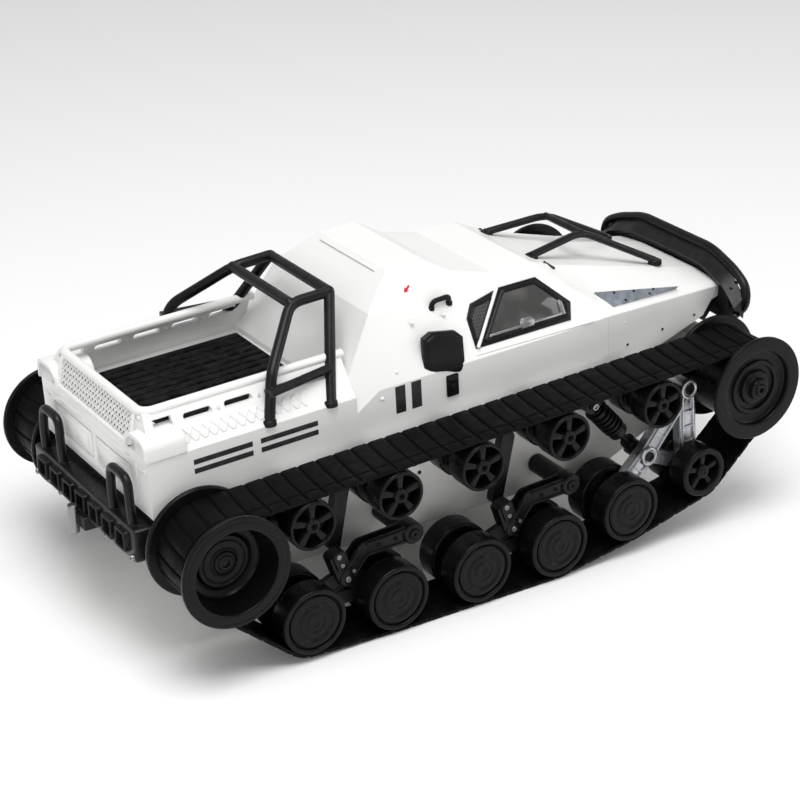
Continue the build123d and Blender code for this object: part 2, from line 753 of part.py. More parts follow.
def fender(side):
    """Small arched cover on the deck at a rear corner of the cargo box."""
    with BuildPart() as cover:
        with BuildSketch(DECK_SIDE.offset(-max(side * 53, side * 67.4))):
            with BuildLine():
                Line((-197.4, 127), (-197.4, 130))
                ThreePointArc((-197.4, 130), (-188, 137.5), (-175, 127))
                Line((-175, 127), (-178, 127))
                ThreePointArc((-178, 127), (-187.6, 135), (-195.4, 129))
                Line((-195.4, 129), (-195.4, 127))
                Line((-195.4, 127), (-197.4, 127))
            make_face()
        extrude(amount=14.4)
    return cover.part


def cab_side(side, rise):
    """Plane on the leaning cab side: local x runs forward, local y up the panel."""
    start = Vector(*deck_point(0, side * 68.0, 128.0))
    normal = Vector(*deck_point(0, side * 0.823, 0.568)) - Vector(*deck_point(0, 0, 0))
    return Plane(origin=start + normal * rise, x_dir=deck_direction(), z_dir=normal * -side)


window_outline = [(11.5, 6.0), (77.5, 5.6), (81.6, 15.8), (64.6, 35.6), (39.6, 35.8),
                  (17.8, 31.5), (12.4, 23.8)]


def side_solid(side, points, low, high):
    """Plate on the cab side between two heights over the panel."""
    with BuildPart() as plate:
        with BuildSketch(cab_side(side, low)):
            Polygon(*points, align=None)
        extrude(amount=(high - low) * -side)
    return plate.part


slot_stations = (-161.0, -136.5, -112.0, -87.5)
slot_length, slot_height, slot_level = 17.0, 3.6, 142.2

with BuildPart() as body_shell:
    add(bed_prism([(-68, skirt_bottom), (-68, 128), (-52.6, 148.6), (52.6, 148.6), (68, 128),
                   (68, skirt_bottom)], -197.6, -70))
    inside = bed_prism([(-66, skirt_bottom - 4), (-66, bed_floor - 2), (66, bed_floor - 2),
                        (66, skirt_bottom - 4)], bed_rear + 0.4, -60)
    add(inside, mode=Mode.SUBTRACT)
    add(bed_prism([(-62.6, bed_floor), (-46.4, 156), (46.4, 156), (62.6, bed_floor)],
                  bed_rear + 4.2, -60), mode=Mode.SUBTRACT)
    add(side_prism([(-199, 129.5), (-195.6, 129.5), (-190.8, 149), (-190.8, 152), (-199, 152)], 80),
        mode=Mode.SUBTRACT)
    add(deck_box((-70, -70, 90), (-50, 70, 180)), mode=Mode.SUBTRACT)
    add(cab_solid())
    add(cab_cavity(), mode=Mode.SUBTRACT)
    add(deck_box((-90, -66, 90), (-70, 66, bed_floor - 2)), mode=Mode.SUBTRACT)
    # slots along the side walls and the open rear corners
    for station in slot_stations:
        with BuildSketch(DECK_SIDE.offset(-80)):
            with Locations((station, slot_level)):
                SlotOverall(slot_length, slot_height)
        extrude(amount=160, mode=Mode.SUBTRACT)
    add(deck_box((-187, -80, 131), (-176, 80, 145)), mode=Mode.SUBTRACT)
    for side in SIDES.values():
        add(fender(side))
    # hand rail round the top of the cargo box
    rail = [deck_point(-68, rail_half, rail_height), deck_point(-190.4, rail_half, rail_height),
            deck_point(-190.4, -rail_half, rail_height), deck_point(-68, -rail_half, rail_height)]
    add(tube(rail, 2.6, 7))
    # embossed frame on the tailgate
    with BuildSketch(deck_section(-197.6)):
        with Locations((0, 111)):
            Rectangle(108, 26)
            Rectangle(100, 18, mode=Mode.SUBTRACT)
    extrude(amount=-1.0)
    for side in SIDES.values():
        add(side_solid(side, window_outline, -3.2, 4.0), mode=Mode.SUBTRACT)
save(body_shell.part, "body_shell")

with BuildPart() as bed_mat:
    add(deck_box((-170.5, -53.5, bed_floor + 0.1), (-79.0, 53.5, bed_floor + 1.6)))
    for row in range(12):
        y = -49.5 + 9.0 * row
        add(deck_box((-169.5, y - 2.9, bed_floor + 1.6), (-80.0, y + 2.9, bed_floor + 3.0)))
save(bed_mat.part, "bed_mat")


# ---------------------------------------------------------------- windows and side covers
with BuildPart() as cab_windows:
    for side in SIDES.values():
        add(side_solid(side, window_outline, -2.0, 0.5))
save(cab_windows.part, "cab_windows")

hatch_outline = [(-20.0, -4.5), (-17.0, -7.0), (1.0, -7.0), (4.0, -4.5), (4.0, 22.0), (1.0, 25.0),
                 (-17.0, 25.0), (-20.0, 22.0)]

with BuildPart() as side_covers:
    for side in SIDES.values():
        add(side_solid(side, hatch_outline, 0.0, 4.6))
        with BuildSketch(DECK_SIDE.offset(-side * body_half)):
            with Locations((-6, 114)):
                Rectangle(7, 12)
        extrude(amount=-1.4 * side)
        add(tube([deck_point(-9, side * 49, 158), deck_point(-8, side * 50, 166),
                  deck_point(4, side * 50, 166), deck_point(5, side * 49, 158)], 1.5, 2))
    add(body_shell.part, mode=Mode.SUBTRACT)
    add(cab_cavity(), mode=Mode.SUBTRACT)
save(side_covers.part, "side_covers")


# ---------------------------------------------------------------- bars and bumpers
with BuildPart() as roll_cage:
    for side in SIDES.values():
        rear_top = deck_point(-86.7, side * 33.2, 177.4)
        front_top = deck_point(-62.4, side * 33.2, 177.4)
        front_foot = deck_point(-85.4, side * 66.4, 128.4)
        add(tube([deck_point(-123.6, side * 66.4, 128.4), deck_point(-119.4, side * 64.5, 157.4),
                  rear_top], 2.7, 8))
        add(tube([front_foot, front_top], 2.7, 0))
        add(tube([rear_top, front_top], 2.7, 0))
        add(tube([deck_point(-121.2, side * 65.3, 145.0), deck_point(-78.8, side * 57.0, 145.0)],
                 2.2, 0))
        for foot in (deck_point(-123.6, side * 66.4, 127.6), front_foot):
            with BuildSketch(Plane(origin=foot, x_dir=deck_direction(), z_dir=deck_normal())):
                Circle(4.0)
            extrude(amount=2.4)
    for u in (-86.7, -62.4):
        add(tube([deck_point(u, -33.2, 177.4), deck_point(u, 33.2, 177.4)], 2.7, 0))
        for side in SIDES.values():
            with Locations(deck_point(u, side * 33.2, 177.4)):
                Sphere(2.7)
    add(body_shell.part, mode=Mode.SUBTRACT)
save(roll_cage.part, "roll_cage")

with BuildPart() as hood_guard:
    for side in SIDES.values():
        add(tube([deck_point(78.4, side * 23.8, 158.6), deck_point(119.9, side * 18.4, 162.2),
                  deck_point(171.0, side * 25.2, 131.0)], 2.3, 6))
    add(tube([deck_point(119.4, -18.4, 161.8), deck_point(119.4, 18.4, 161.8)], 2.3, 0))
    add(body_shell.part, mode=Mode.SUBTRACT)
    add(cab_cavity(), mode=Mode.SUBTRACT)
save(hood_guard.part, "hood_guard")

with BuildPart() as front_bumper:
    hoop = [deck_point(u, y, v) for u, y, v in (
        (196, 0, 99), (198, 62, 99), (203, 72, 107), (207, 62, 124), (208, 36, 132), (208, 0, 132))]
    for side in SIDES.values():
        add(tube([(x, side * y, z) for x, y, z in hoop], 3.2, 5))
        add(tube([deck_point(180, side * 40, 103), deck_point(198, side * 40, 103),
                  deck_point(207.5, side * 40, 128)], 2.6, 5))
    add(deck_box((195, -64, 95), (201, 64, 106)))
    add(deck_box((204.5, -58, 120), (209.5, 58, 128)))
    add(body_shell.part, mode=Mode.SUBTRACT)
    add(cab_cavity(), mode=Mode.SUBTRACT)
    add(chassis_tub.part, mode=Mode.SUBTRACT)
save(front_bumper.part, "front_bumper")

with BuildPart() as rear_bumper:
    with Locations((-197.5, 0, 71)):
        Box(19, 132, 20)
    chamfer(rear_bumper.edges().filter_by(Axis.Y).group_by(Axis.X)[0], 4)
    with Locations((-208, 0, 71)):
        with GridLocations(0, 17, 1, 7):
            Box(6, 10, 8, mode=Mode.SUBTRACT)
    for side in SIDES.values():
        add(tube([(-202, side * 35, 78), (-204, side * 35, 112), (-204, side * 57, 112),
                  (-202, side * 57, 78)], 2.6, 5))
    with Locations((-206.15, 0, 62)):
        Box(15, 24, 8)
    with Locations((-210.65, 0, 62)):
        Cylinder(3, 18)
    add(body_shell.part, mode=Mode.SUBTRACT)
    add(chassis_tub.part, mode=Mode.SUBTRACT)
save(rear_bumper.part, "rear_bumper")
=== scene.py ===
import json
import math

import bmesh
import bpy
from mathutils import Matrix, Vector


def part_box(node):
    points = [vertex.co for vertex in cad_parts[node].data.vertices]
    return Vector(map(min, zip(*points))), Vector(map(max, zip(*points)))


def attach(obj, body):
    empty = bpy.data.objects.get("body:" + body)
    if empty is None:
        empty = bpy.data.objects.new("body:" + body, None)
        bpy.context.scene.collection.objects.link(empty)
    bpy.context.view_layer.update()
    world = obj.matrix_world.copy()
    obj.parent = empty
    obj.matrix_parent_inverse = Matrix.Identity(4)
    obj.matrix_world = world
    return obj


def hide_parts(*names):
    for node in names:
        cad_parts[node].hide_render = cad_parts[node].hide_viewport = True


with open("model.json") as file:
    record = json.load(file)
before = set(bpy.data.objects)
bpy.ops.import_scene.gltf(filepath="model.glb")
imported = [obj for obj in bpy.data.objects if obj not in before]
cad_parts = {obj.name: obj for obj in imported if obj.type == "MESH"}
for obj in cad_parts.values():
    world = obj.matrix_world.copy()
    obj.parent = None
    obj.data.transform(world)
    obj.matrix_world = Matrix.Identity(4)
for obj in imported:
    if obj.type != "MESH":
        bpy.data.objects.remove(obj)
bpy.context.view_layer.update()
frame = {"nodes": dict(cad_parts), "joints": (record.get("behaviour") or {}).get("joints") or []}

MM = 0.001

# ------------------ driving values, mm
RAKE = math.radians(2.5)            # nose-up slope of the body and of the tracks' top run
DECK_ORIGIN = Vector((8.4, 0.0, 0.15))
FORWARD = Vector((math.cos(RAKE), 0.0, math.sin(RAKE)))
UPWARD = Vector((-math.sin(RAKE), 0.0, math.cos(RAKE)))
LEFTWARD = Vector((0, 1, 0))
REARWARD = Vector((-1, 0, 0))
UP = Vector((0, 0, 1))
SIDES = {"right": -1, "left": 1}    # sign of y on each side

BELT_IN, BELT_OUT = 77.4, 113.8     # track edges, distance from the middle plane
BELT_TOP, BELT_THICK = 3.0, 2.6     # tread surface over the wheels, belt thickness
DRUM_RADIUS = 24.2                  # sprocket and idler where the belt lies on them
PAD_PITCH = 11.0
GROOVE_DEPTH = 1.15
GROOVE_SWEEP = 3.2                  # how far a groove curves back towards the hull
SHOULDER = 0.8                      # share of the belt's width where its shoulder blocks begin

WALL = 68.0                         # flat lower part of the body side, from the middle plane
SILL = 128.0                        # height in the body frame where the side begins to lean in
WINDOW_LEAN = 34.6                  # lean of the window's panel from upright, degrees
BED_LEAN = 36.6                     # lean of the bed's slotted walls, degrees
BED_FLOOR = 128.2                   # heights in the body frame
BED_SLOTS = 142.2
PANEL_HALF = 44.0                   # half width of the perforated panel behind the bed
CAGE_BAR = 3.1                      # bar radii
GUARD_BAR = 2.7
HOOP_BAR = 2.9
LOOP_BAR = 2.6
BUMPER_BOW = 0.0007                 # how fast the front bumper curves back, in 1/mm

SHARP_ANGLE = 32                    # edges sharper than this are not shaded smooth, degrees


def deck(u, y, v):
    """A point of the raked body frame, in millimetres in the row frame."""
    return DECK_ORIGIN + FORWARD * u + Vector((0, y, 0)) + UPWARD * v


def mirrored(side, u, y, v):
    """A point of the raked body frame on one side; y counts from the middle plane."""
    return deck(u, side * y, v)


def on_side(side, *points):
    """Several such points, each given as (u, y, v)."""
    return [mirrored(side, *point) for point in points]


def centre(node):
    """Middle of a CAD node's box, in millimetres."""
    low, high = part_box(node)
    return (low + high) / 2 / MM


def radius_of(node):
    """Radius of a wheel's CAD node, in millimetres."""
    low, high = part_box(node)
    return (high.z - low.z) / 2 / MM


def on_middle(point):
    """The point moved sideways onto the middle plane of the vehicle."""
    return Vector((point.x, 0, point.z))


def middle_at(node):
    """Point of a wheel's axle on the middle plane."""
    return on_middle(centre(node))


def pin(joint_name):
    """Where a joint's pin is, in millimetres."""
    place = next(joint["pos_m"] for joint in frame["joints"] if joint["name"] == joint_name)
    return Vector(place) / MM


# ------------------ camera, floor and light
def aim(obj, target, roll=0.0):
    """Turn a camera or a lamp so that it looks at a point."""
    view = (Vector(target) - obj.location).to_track_quat("-Z", "Y")
    obj.rotation_euler = (view.to_matrix() @ Matrix.Rotation(roll, 3, "Z")).to_euler()


def camera():
    data = bpy.data.cameras.new("camera")
    data.lens = 98.8
    data.sensor_width = 36.0
    data.clip_start = 0.05
    data.clip_end = 20.0
    cam = bpy.data.objects.new("camera", data)
    cam.location = Vector((-622.97, -1009.51, 628.26)) * MM
    forward = Vector((0.47852, 0.77150, -0.41928))
    aim(cam, cam.location + forward, math.radians(-0.77))
    bpy.context.collection.objects.link(cam)
    bpy.context.scene.camera = cam


def lamp(name, at, target, size, power):
    data = bpy.data.lights.new(name, "AREA")
    data.shape = "RECTANGLE"
    data.size, data.size_y = size
    data.energy = power
    obj = bpy.data.objects.new(name, data)
    obj.location = at
    aim(obj, target)
    bpy.context.collection.objects.link(obj)


def studio():
    bpy.context.scene.view_settings.view_transform = "Standard"
    world = bpy.data.worlds.new("studio")
    world.use_nodes = True
    background = world.node_tree.nodes["Background"]
    background.inputs["Color"].default_value = (1, 1, 1, 1)
    background.inputs["Strength"].default_value = 0.50
    bpy.context.scene.world = world
    middle = (0.0, 0.0, 0.08)
    lamp("key", (-0.25, -0.45, 1.75), middle, (1.2, 1.2), 25.5)
    lamp("side", (-1.5, -1.1, 0.8), middle, (1.0, 0.8), 3.2)
    lamp("front", (1.4, -0.9, 0.7), middle, (0.8, 0.8), 4)
    bpy.ops.mesh.primitive_plane_add(size=8.0, location=(0, 0, 0))
    floor = bpy.context.object
    floor.name = "floor"
    mat = bpy.data.materials.new("floor")
    mat.use_nodes = True
    shader = mat.node_tree.nodes["Principled BSDF"]
    shader.inputs["Base Color"].default_value = (0.95, 0.95, 0.95, 1)
    shader.inputs["Roughness"].default_value = 0.7
    floor.data.materials.append(mat)


# ------------------ materials
class Look:
    """A Principled material with helpers for its procedural detail."""

    def __init__(self, name, color, roughness, rounding=0.0, **sockets):
        self.mat = bpy.data.materials.new(name)
        self.mat.use_nodes = True
        self.tree = self.mat.node_tree
        self.shader = self.tree.nodes["Principled BSDF"]
        self.color = color
        self.shader.inputs["Base Color"].default_value = (*color, 1)
        self.shader.inputs["Roughness"].default_value = roughness
        for socket, value in sockets.items():
            self.shader.inputs[socket.replace("_", " ")].default_value = value
        self.normal = None
        self.place = self.add("ShaderNodeTexCoord").outputs["Object"]
        if rounding:
            bevel = self.add("ShaderNodeBevel", samples=4)
            bevel.inputs["Radius"].default_value = rounding
            self.normal = bevel.outputs["Normal"]
            self.link(self.normal, self.shader.inputs["Normal"])

    def add(self, kind, **values):
        node = self.tree.nodes.new(kind)
        for key, value in values.items():
            setattr(node, key, value)
        return node

    def link(self, out, into):
        self.tree.links.new(out, into)

    def noise(self, scale, detail=2.0, rough=0.5, stretch=None):
        """Noise field of 0..1; scale is in features per metre."""
        node = self.add("ShaderNodeTexNoise")
        node.inputs["Scale"].default_value = scale
        node.inputs["Detail"].default_value = detail
        node.inputs["Roughness"].default_value = rough
        place = self.place
        if stretch:
            mapping = self.add("ShaderNodeMapping")
            mapping.inputs["Scale"].default_value = stretch
            self.link(place, mapping.inputs["Vector"])
            place = mapping.outputs["Vector"]
        self.link(place, node.inputs["Vector"])
        return node.outputs["Fac"]

    def spread(self, value, low, high, to_low=0.0, to_high=1.0):
        """Stretch a field from low..high to another range, cut off at its ends."""
        node = self.add("ShaderNodeMapRange")
        ends = {"From Min": low, "From Max": high, "To Min": to_low, "To Max": to_high}
        for socket, end in ends.items():
            node.inputs[socket].default_value = end
        self.link(value, node.inputs["Value"])
        return node.outputs["Result"]

    def tint(self, amount, color):
        """Blend the base colour towards another colour by a 0..1 field."""
        mix = self.add("ShaderNodeMix", data_type="RGBA")
        socket = self.shader.inputs["Base Color"]
        if socket.is_linked:
            self.link(socket.links[0].from_socket, mix.inputs["A"])
        else:
            mix.inputs["A"].default_value = (*self.color, 1)
        mix.inputs["B"].default_value = (*color, 1)
        self.link(amount, mix.inputs["Factor"])
        self.link(mix.outputs["Result"], socket)

    def vary_roughness(self, value, low, high):
        self.link(self.spread(value, 0.3, 0.7, low, high), self.shader.inputs["Roughness"])

    def bump(self, height, distance, strength):
        node = self.add("ShaderNodeBump")
        node.inputs["Strength"].default_value = strength
        node.inputs["Distance"].default_value = distance
        self.link(height, node.inputs["Height"])
        if self.normal:
            self.link(self.normal, node.inputs["Normal"])
        self.normal = node.outputs["Normal"]
        self.link(self.normal, self.shader.inputs["Normal"])

    def painted_edge_highlight(self, color):
        """Painted highlight: lighter colour along the sharp outer edges, broken up by noise."""
        pointed = self.add("ShaderNodeNewGeometry").outputs["Pointiness"]
        edge = self.spread(pointed, 0.53, 0.62)
        broken = self.add("ShaderNodeMath", operation="MULTIPLY")
        self.link(edge, broken.inputs[0])
        self.link(self.spread(self.noise(180, 4), 0.4, 0.65), broken.inputs[1])
        self.tint(broken.outputs["Value"], color)


def white_plastic():
    look = Look("white_plastic", (0.82, 0.817, 0.805), 0.36, rounding=0.0007, Coat_Weight=0.2,
                Coat_Roughness=0.2)
    look.tint(look.spread(look.noise(11, 3), 0.35, 0.75, 0, 0.4), (0.74, 0.735, 0.72))
    look.vary_roughness(look.noise(60, 4), 0.30, 0.46)
    look.bump(look.noise(900, 2), 0.00003, 0.35)
    return look.mat


def black_plastic(name, color, roughness, shine=0.25, rounding=0.0004):
    look = Look(name, color, roughness, rounding=rounding, Specular_IOR_Level=shine)
    look.tint(look.spread(look.noise(45, 4), 0.45, 0.8, 0, 0.5), tuple(c * 1.7 for c in color))
    # painted highlight: the sharp edges are lightened to stand in for the light they catch
    look.painted_edge_highlight(tuple(c * 3 for c in color))
    look.vary_roughness(look.noise(120, 4), roughness - 0.07, roughness + 0.10)
    look.bump(look.noise(1400, 2), 0.00005, 0.5)
    return look.mat


def rubber(name, color):
    look = Look(name, color, 0.55, Specular_IOR_Level=0.05)
    look.tint(look.spread(look.noise(70, 5, 0.65), 0.45, 0.75, 0, 0.6), tuple(c * 1.8 for c in color))
    # painted highlight: the sharp edges of the rubber are lightened to stand in for the light they catch
    look.painted_edge_highlight(tuple(c * 5 for c in color))
    look.vary_roughness(look.noise(160, 4), 0.42, 0.62)
    look.bump(look.noise(1900, 3), 0.00006, 0.6)
    return look.mat


def grey_plastic():
    look = Look("grey_plastic", (0.80, 0.79, 0.76), 0.45, rounding=0.0006)
    look.tint(look.spread(look.noise(20, 4), 0.4, 0.8, 0, 0.4), (0.70, 0.69, 0.66))
    look.vary_roughness(look.noise(90, 3), 0.4, 0.52)
    look.bump(look.noise(1000, 2), 0.00005, 0.4)
    return look.mat


def bare_metal(name, color, roughness, brush=(1, 1, 1)):
    look = Look(name, color, roughness, rounding=0.0004, Metallic=1.0)
    look.tint(look.spread(look.noise(60, 4), 0.4, 0.8, 0, 0.5), tuple(c * 0.7 for c in color))
    # painted highlight: the sharp edges of the metal are lightened to stand in for the light they catch
    look.painted_edge_highlight(tuple(min(1.0, c * 1.3) for c in color))
    look.vary_roughness(look.noise(200, 5, stretch=brush), roughness - 0.1, roughness + 0.12)
    look.bump(look.noise(1200, 3, stretch=brush), 0.00005, 0.5)
    return look.mat


def tinted_glass():
    look = Look("tinted_window", (0.036, 0.035, 0.034), 0.08, Coat_Weight=0.6, Coat_Roughness=0.03)
    look.tint(look.spread(look.noise(38, 1.5), 0.42, 0.62, 0, 0.9), (0.15, 0.145, 0.14))
    look.bump(look.noise(24, 2), 0.0002, 0.15)
    return look.mat


def mesh_screen():
    """Woven wire of the quarter window: two crossed sets of fine wires over a dark ground."""
    look = Look("window_screen", (0.016, 0.016, 0.016), 0.5)
    for direction in ("X", "Z"):
        wave = look.add("ShaderNodeTexWave", bands_direction=direction)
        wave.inputs["Scale"].default_value = 190
        look.link(look.place, wave.inputs["Vector"])
        look.tint(look.spread(wave.outputs["Fac"], 0.7, 0.85, 0, 0.6), (0.07, 0.07, 0.068))
    look.bump(look.noise(600, 2), 0.00008, 0.5)
    return look.mat


# ------------------ mesh helpers, all in mm
def heading(angle):
    """Direction at an angle in the X-Z plane."""
    return Vector((math.cos(angle), 0, math.sin(angle)))


def full_turn(count):
    """Evenly spaced angles round a circle."""
    return [2 * math.pi * step / count for step in range(count)]


def squared(axis):
    """A direction and two more that are square to it."""
    axis = Vector(axis).normalized()
    across = axis.orthogonal().normalized()
    return axis, across, axis.cross(across)


def spot(place, a, b, level=0.0):
    """Point of a place = (origin, x, y, z)."""
    origin, x, y, z = place
    return origin + x * a + y * b + z * level


def shifted(place, a, b):
    """The same place with its origin moved in its own plane."""
    return (spot(place, a, b), *place[1:])


def side_place(side, u, v, y, lean):
    """Place on the body side: x runs forward, y up the panel, z outward; lean is from upright."""
    angle = math.radians(lean)
    up = UPWARD * math.cos(angle) + Vector((0, -side * math.sin(angle), 0))
    out = UPWARD * math.sin(angle) + Vector((0, side * math.cos(angle), 0))
    return (mirrored(side, u, y, v), FORWARD, up, out)


def rectangle(low_a, high_a, low_b, high_b):
    """Outline of a plain rectangle."""
    return [(low_a, low_b), (high_a, low_b), (high_a, high_b), (low_a, high_b)]


def rounded_box(half_x, half_y, corner):
    """Outline of a rectangle with round corners."""
    steps = 4
    outline = []
    for sx, sy, start in ((1, 1, 0), (-1, 1, 90), (-1, -1, 180), (1, -1, 270)):
        for step in range(steps + 1):
            angle = math.radians(start + 90 * step / steps)
            outline.append((sx * (half_x - corner) + corner * math.cos(angle),
                            sy * (half_y - corner) + corner * math.sin(angle)))
    return outline


def bent(route, bend, steps=6):
    """Points of a route with each corner replaced by a smooth curve."""
    route = [Vector(p) for p in route]
    if not bend or len(route) < 3:
        return route
    path = [route[0]]
    for before, corner, after in zip(route, route[1:], route[2:]):
        back, ahead = before - corner, after - corner
        reach = min(bend, back.length * 0.48, ahead.length * 0.48)
        start, stop = corner + back.normalized() * reach, corner + ahead.normalized() * reach
        for step in range(steps + 1):
            t = step / steps
            path.append(start * (1 - t) ** 2 + corner * 2 * t * (1 - t) + stop * t ** 2)
    path.append(route[-1])
    return path


def shrunk(outline, inward):
    """Outline moved inward by a distance, keeping its corners; works for either direction."""
    if not inward:
        return list(outline)
    area = sum(a[0] * b[1] - b[0] * a[1] for a, b in zip(outline, outline[1:] + outline[:1]))
    turn = 1 if area > 0 else -1
    moved = []
    for before, point, after in zip(outline[-1:] + outline[:-1], outline, outline[1:] + outline[:1]):
        p = Vector(point)
        first = (p - Vector(before)).normalized()
        second = (Vector(after) - p).normalized()
        n1, n2 = Vector((-first.y, first.x)) * turn, Vector((-second.y, second.x)) * turn
        miter = (n1 + n2).normalized()
        moved.append(tuple(p + miter * inward / max(miter.dot(n1), 0.35)))
    return moved


class Shape:
    """Points and faces of one piece while it is made; a kind is the number of a face's material."""

    def __init__(self):
        self.points, self.faces, self.kinds = [], [], []

    def add(self, points, faces, kind):
        start = len(self.points)
        self.points += points
        self.faces += [[start + i for i in face] for face in faces]
        self.kinds += [kind] * len(faces)

    def rings(self, rings, closed=True, caps=True, kind=0):
        """Skin over a row of rings with equal numbers of points."""
        count = len(rings[0])
        faces = []
        for row in range(len(rings) - 1):
            for i in range(count if closed else count - 1):
                here, after = row * count + i, row * count + (i + 1) % count
                faces.append([here, after, after + count, here + count])
        if caps:
            last = (len(rings) - 1) * count
            faces.append(list(range(count))[::-1])
            faces.append([last + i for i in range(count)])
        self.add([p for ring in rings for p in ring], faces, kind)

    def turn(self, at, axis, outline, rounding, segments, kind=0, steps=3):
        """Solid of revolution from (radius, distance along the axis) points with rounded corners."""
        axis, across, other = squared(axis)
        profile = bent([(radius, along, 0) for radius, along in outline], rounding, steps)
        rings = []
        for angle in full_turn(segments):
            arm = across * math.cos(angle) + other * math.sin(angle)
            rings.append([at + axis * point.y + arm * max(point.x, 0.01) for point in profile])
        rings.append(rings[0])
        self.rings(rings, closed=False, caps=False, kind=kind)

    def tube(self, route, radius, bend=0.0, sides=16, flat=1.0, kind=0):
        """Bar along a route with rounded bends; flat below 1 squeezes it vertically."""
        path = bent(route, bend)
        steep = abs((path[-1] - path[0]).normalized().z) > 0.8
        up = Vector((1, 0, 0)) if steep else UP
        rings = []
        for i, point in enumerate(path):
            before, after = path[max(i - 1, 0)], path[min(i + 1, len(path) - 1)]
            along = (after - before).normalized()
            across = along.cross(up).normalized()
            over = across.cross(along) * flat
            rings.append([point + across * (radius * math.cos(angle)) + over * (radius * math.sin(angle))
                          for angle in full_turn(sides)])
        self.rings(rings, kind=kind)

    def slab(self, outline, place, low, high, edge, kind=0):
        """Plate with rounded upper edges from an outline on a place."""
        steps = [(0.0, low), (0.0, high - edge), (0.3 * edge, high - 0.3 * edge), (edge, high)]
        rings = []
        for inward, level in steps:
            rings.append([spot(place, a, b, level) for a, b in shrunk(outline, inward)])
        self.rings(rings, kind=kind)

    def screw(self, at, axis, radius, height, kind=0):
        """Socket-head screw: a rounded head with a six-sided recess."""
        axis, across, other = squared(axis)
        rings = []
        for share, level, six_sided in ((1, 0, False), (1, 0.75, False), (0.88, 1, False),
                                        (0.56, 1, True), (0.5, 0.45, True)):
            ring = []
            for angle in full_turn(24):
                reach = radius * share
                if six_sided:
                    reach *= math.cos(math.pi / 6) / math.cos((angle % (math.pi / 3)) - math.pi / 6)
                arm = across * math.cos(angle) + other * math.sin(angle)
                ring.append(at + axis * height * level + arm * reach)
            rings.append(ring)
        self.rings(rings, kind=kind)

    def edge_ribs(self, start, stop, axis, half, width, gaps, levels, edge):
        """Two ribs along the edges of a flat bar from start to stop; returns the bar's place."""
        along = (stop - start).normalized()
        place = (start, along, along.cross(axis), axis)
        first, last = gaps[0], (stop - start).length - gaps[1]
        for low in (-half, half - width):
            self.slab(rectangle(first, last, low, low + width), place, *levels, edge)
        return place


def piece(name, shape, mats, body, replaces=()):
    """Turn a shape into a mesh object that rides on a CAD body."""
    mesh = bpy.data.meshes.new(name)
    mesh.from_pydata([p * MM for p in shape.points], [], shape.faces)
    for mat in mats:
        mesh.materials.append(mat)
    mesh.polygons.foreach_set("material_index", shape.kinds)
    mesh.polygons.foreach_set("use_smooth", [True] * len(mesh.polygons))
    mesh.validate()
    work = bmesh.new()
    work.from_mesh(mesh)
    bmesh.ops.remove_doubles(work, verts=work.verts, dist=0.00001)
    bmesh.ops.recalc_face_normals(work, faces=work.faces)
    work.to_mesh(mesh)
    work.free()
    mesh.set_sharp_from_angle(angle=math.radians(SHARP_ANGLE))
    obj = bpy.data.objects.new(name, mesh)
    bpy.context.collection.objects.link(obj)
    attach(obj, body)
    if replaces:
        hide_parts(*replaces)


# ------------------ tracks
def belt_circles(side_name):
    """Wheels inside the belt, going forward along the ground, then back over the top."""
    names = [f"road_wheel_{side_name}_{number}" for number in range(1, 6)]
    names.append(f"front_wheel_{side_name}")
    wheels = [(centre(n).x, centre(n).z, radius_of(n) + BELT_TOP) for n in names]
    for name in (f"idler_{side_name}", f"sprocket_{side_name}"):
        wheels.append((centre(name).x, centre(name).z, DRUM_RADIUS + BELT_TOP))
    return wheels


def belt_spans(circles):
    """Arc and straight run for each wheel, as (circle, start, stop, run)."""
    leave, runs = [], []
    for here, ahead in zip(circles, circles[1:] + circles[:1]):
        gap = math.hypot(ahead[0] - here[0], ahead[1] - here[1])
        heading = math.atan2(ahead[1] - here[1], ahead[0] - here[0])
        leave.append(heading - math.acos((here[2] - ahead[2]) / gap))
        runs.append(math.sqrt(gap ** 2 - (here[2] - ahead[2]) ** 2))
    spans = []
    for index, circle in enumerate(circles):
        start, stop = leave[index - 1], leave[index]
        if stop < start - 1e-9:
            stop += 2 * math.pi
        spans.append((circle, start, stop, runs[index]))
    return spans


def belt_length(spans):
    """Length of the belt's outer line."""
    return sum(circle[2] * (stop - start) + run for circle, start, stop, run in spans)


def belt_point(spans, distance):
    """Point on the belt's outer line and the outward direction there, in the X-Z plane."""
    left = distance % belt_length(spans)
    for (x, z, radius), start, stop, run in spans:
        hub = Vector((x, 0, z))
        arc = radius * (stop - start)
        if left <= arc:
            out = heading(start + left / radius)
            return hub + out * radius, out
        left -= arc
        if left <= run:
            out = heading(stop)
            return hub + out * radius + Vector((-out.z, 0, out.x)) * left, out
        left -= run
    return belt_point(spans, 0.0)


# height of one pad, as (share of the pitch, height)
PAD_PROFILE = [(0.0, -1.15), (0.085, -1.15), (0.105, -0.45), (0.15, -0.16), (0.27, -0.03), (0.5, 0.0),
               (0.75, -0.03), (0.88, -0.2), (0.925, -0.5), (0.945, -1.15)]
# height across the belt from its inner edge, as (share of the width, height)
ACROSS = [(0.0, -0.9), (0.012, -0.35), (0.04, -0.12), (0.15, 0.0), (0.3, 0.0), (0.45, 0.0),
          (0.6, 0.0), (0.74, 0.0), (0.79, -0.08), (0.80, -0.75), (0.825, -0.75), (0.835, -0.08),
          (0.9, 0.0), (0.965, -0.12), (0.99, -0.35), (1.0, -0.9)]


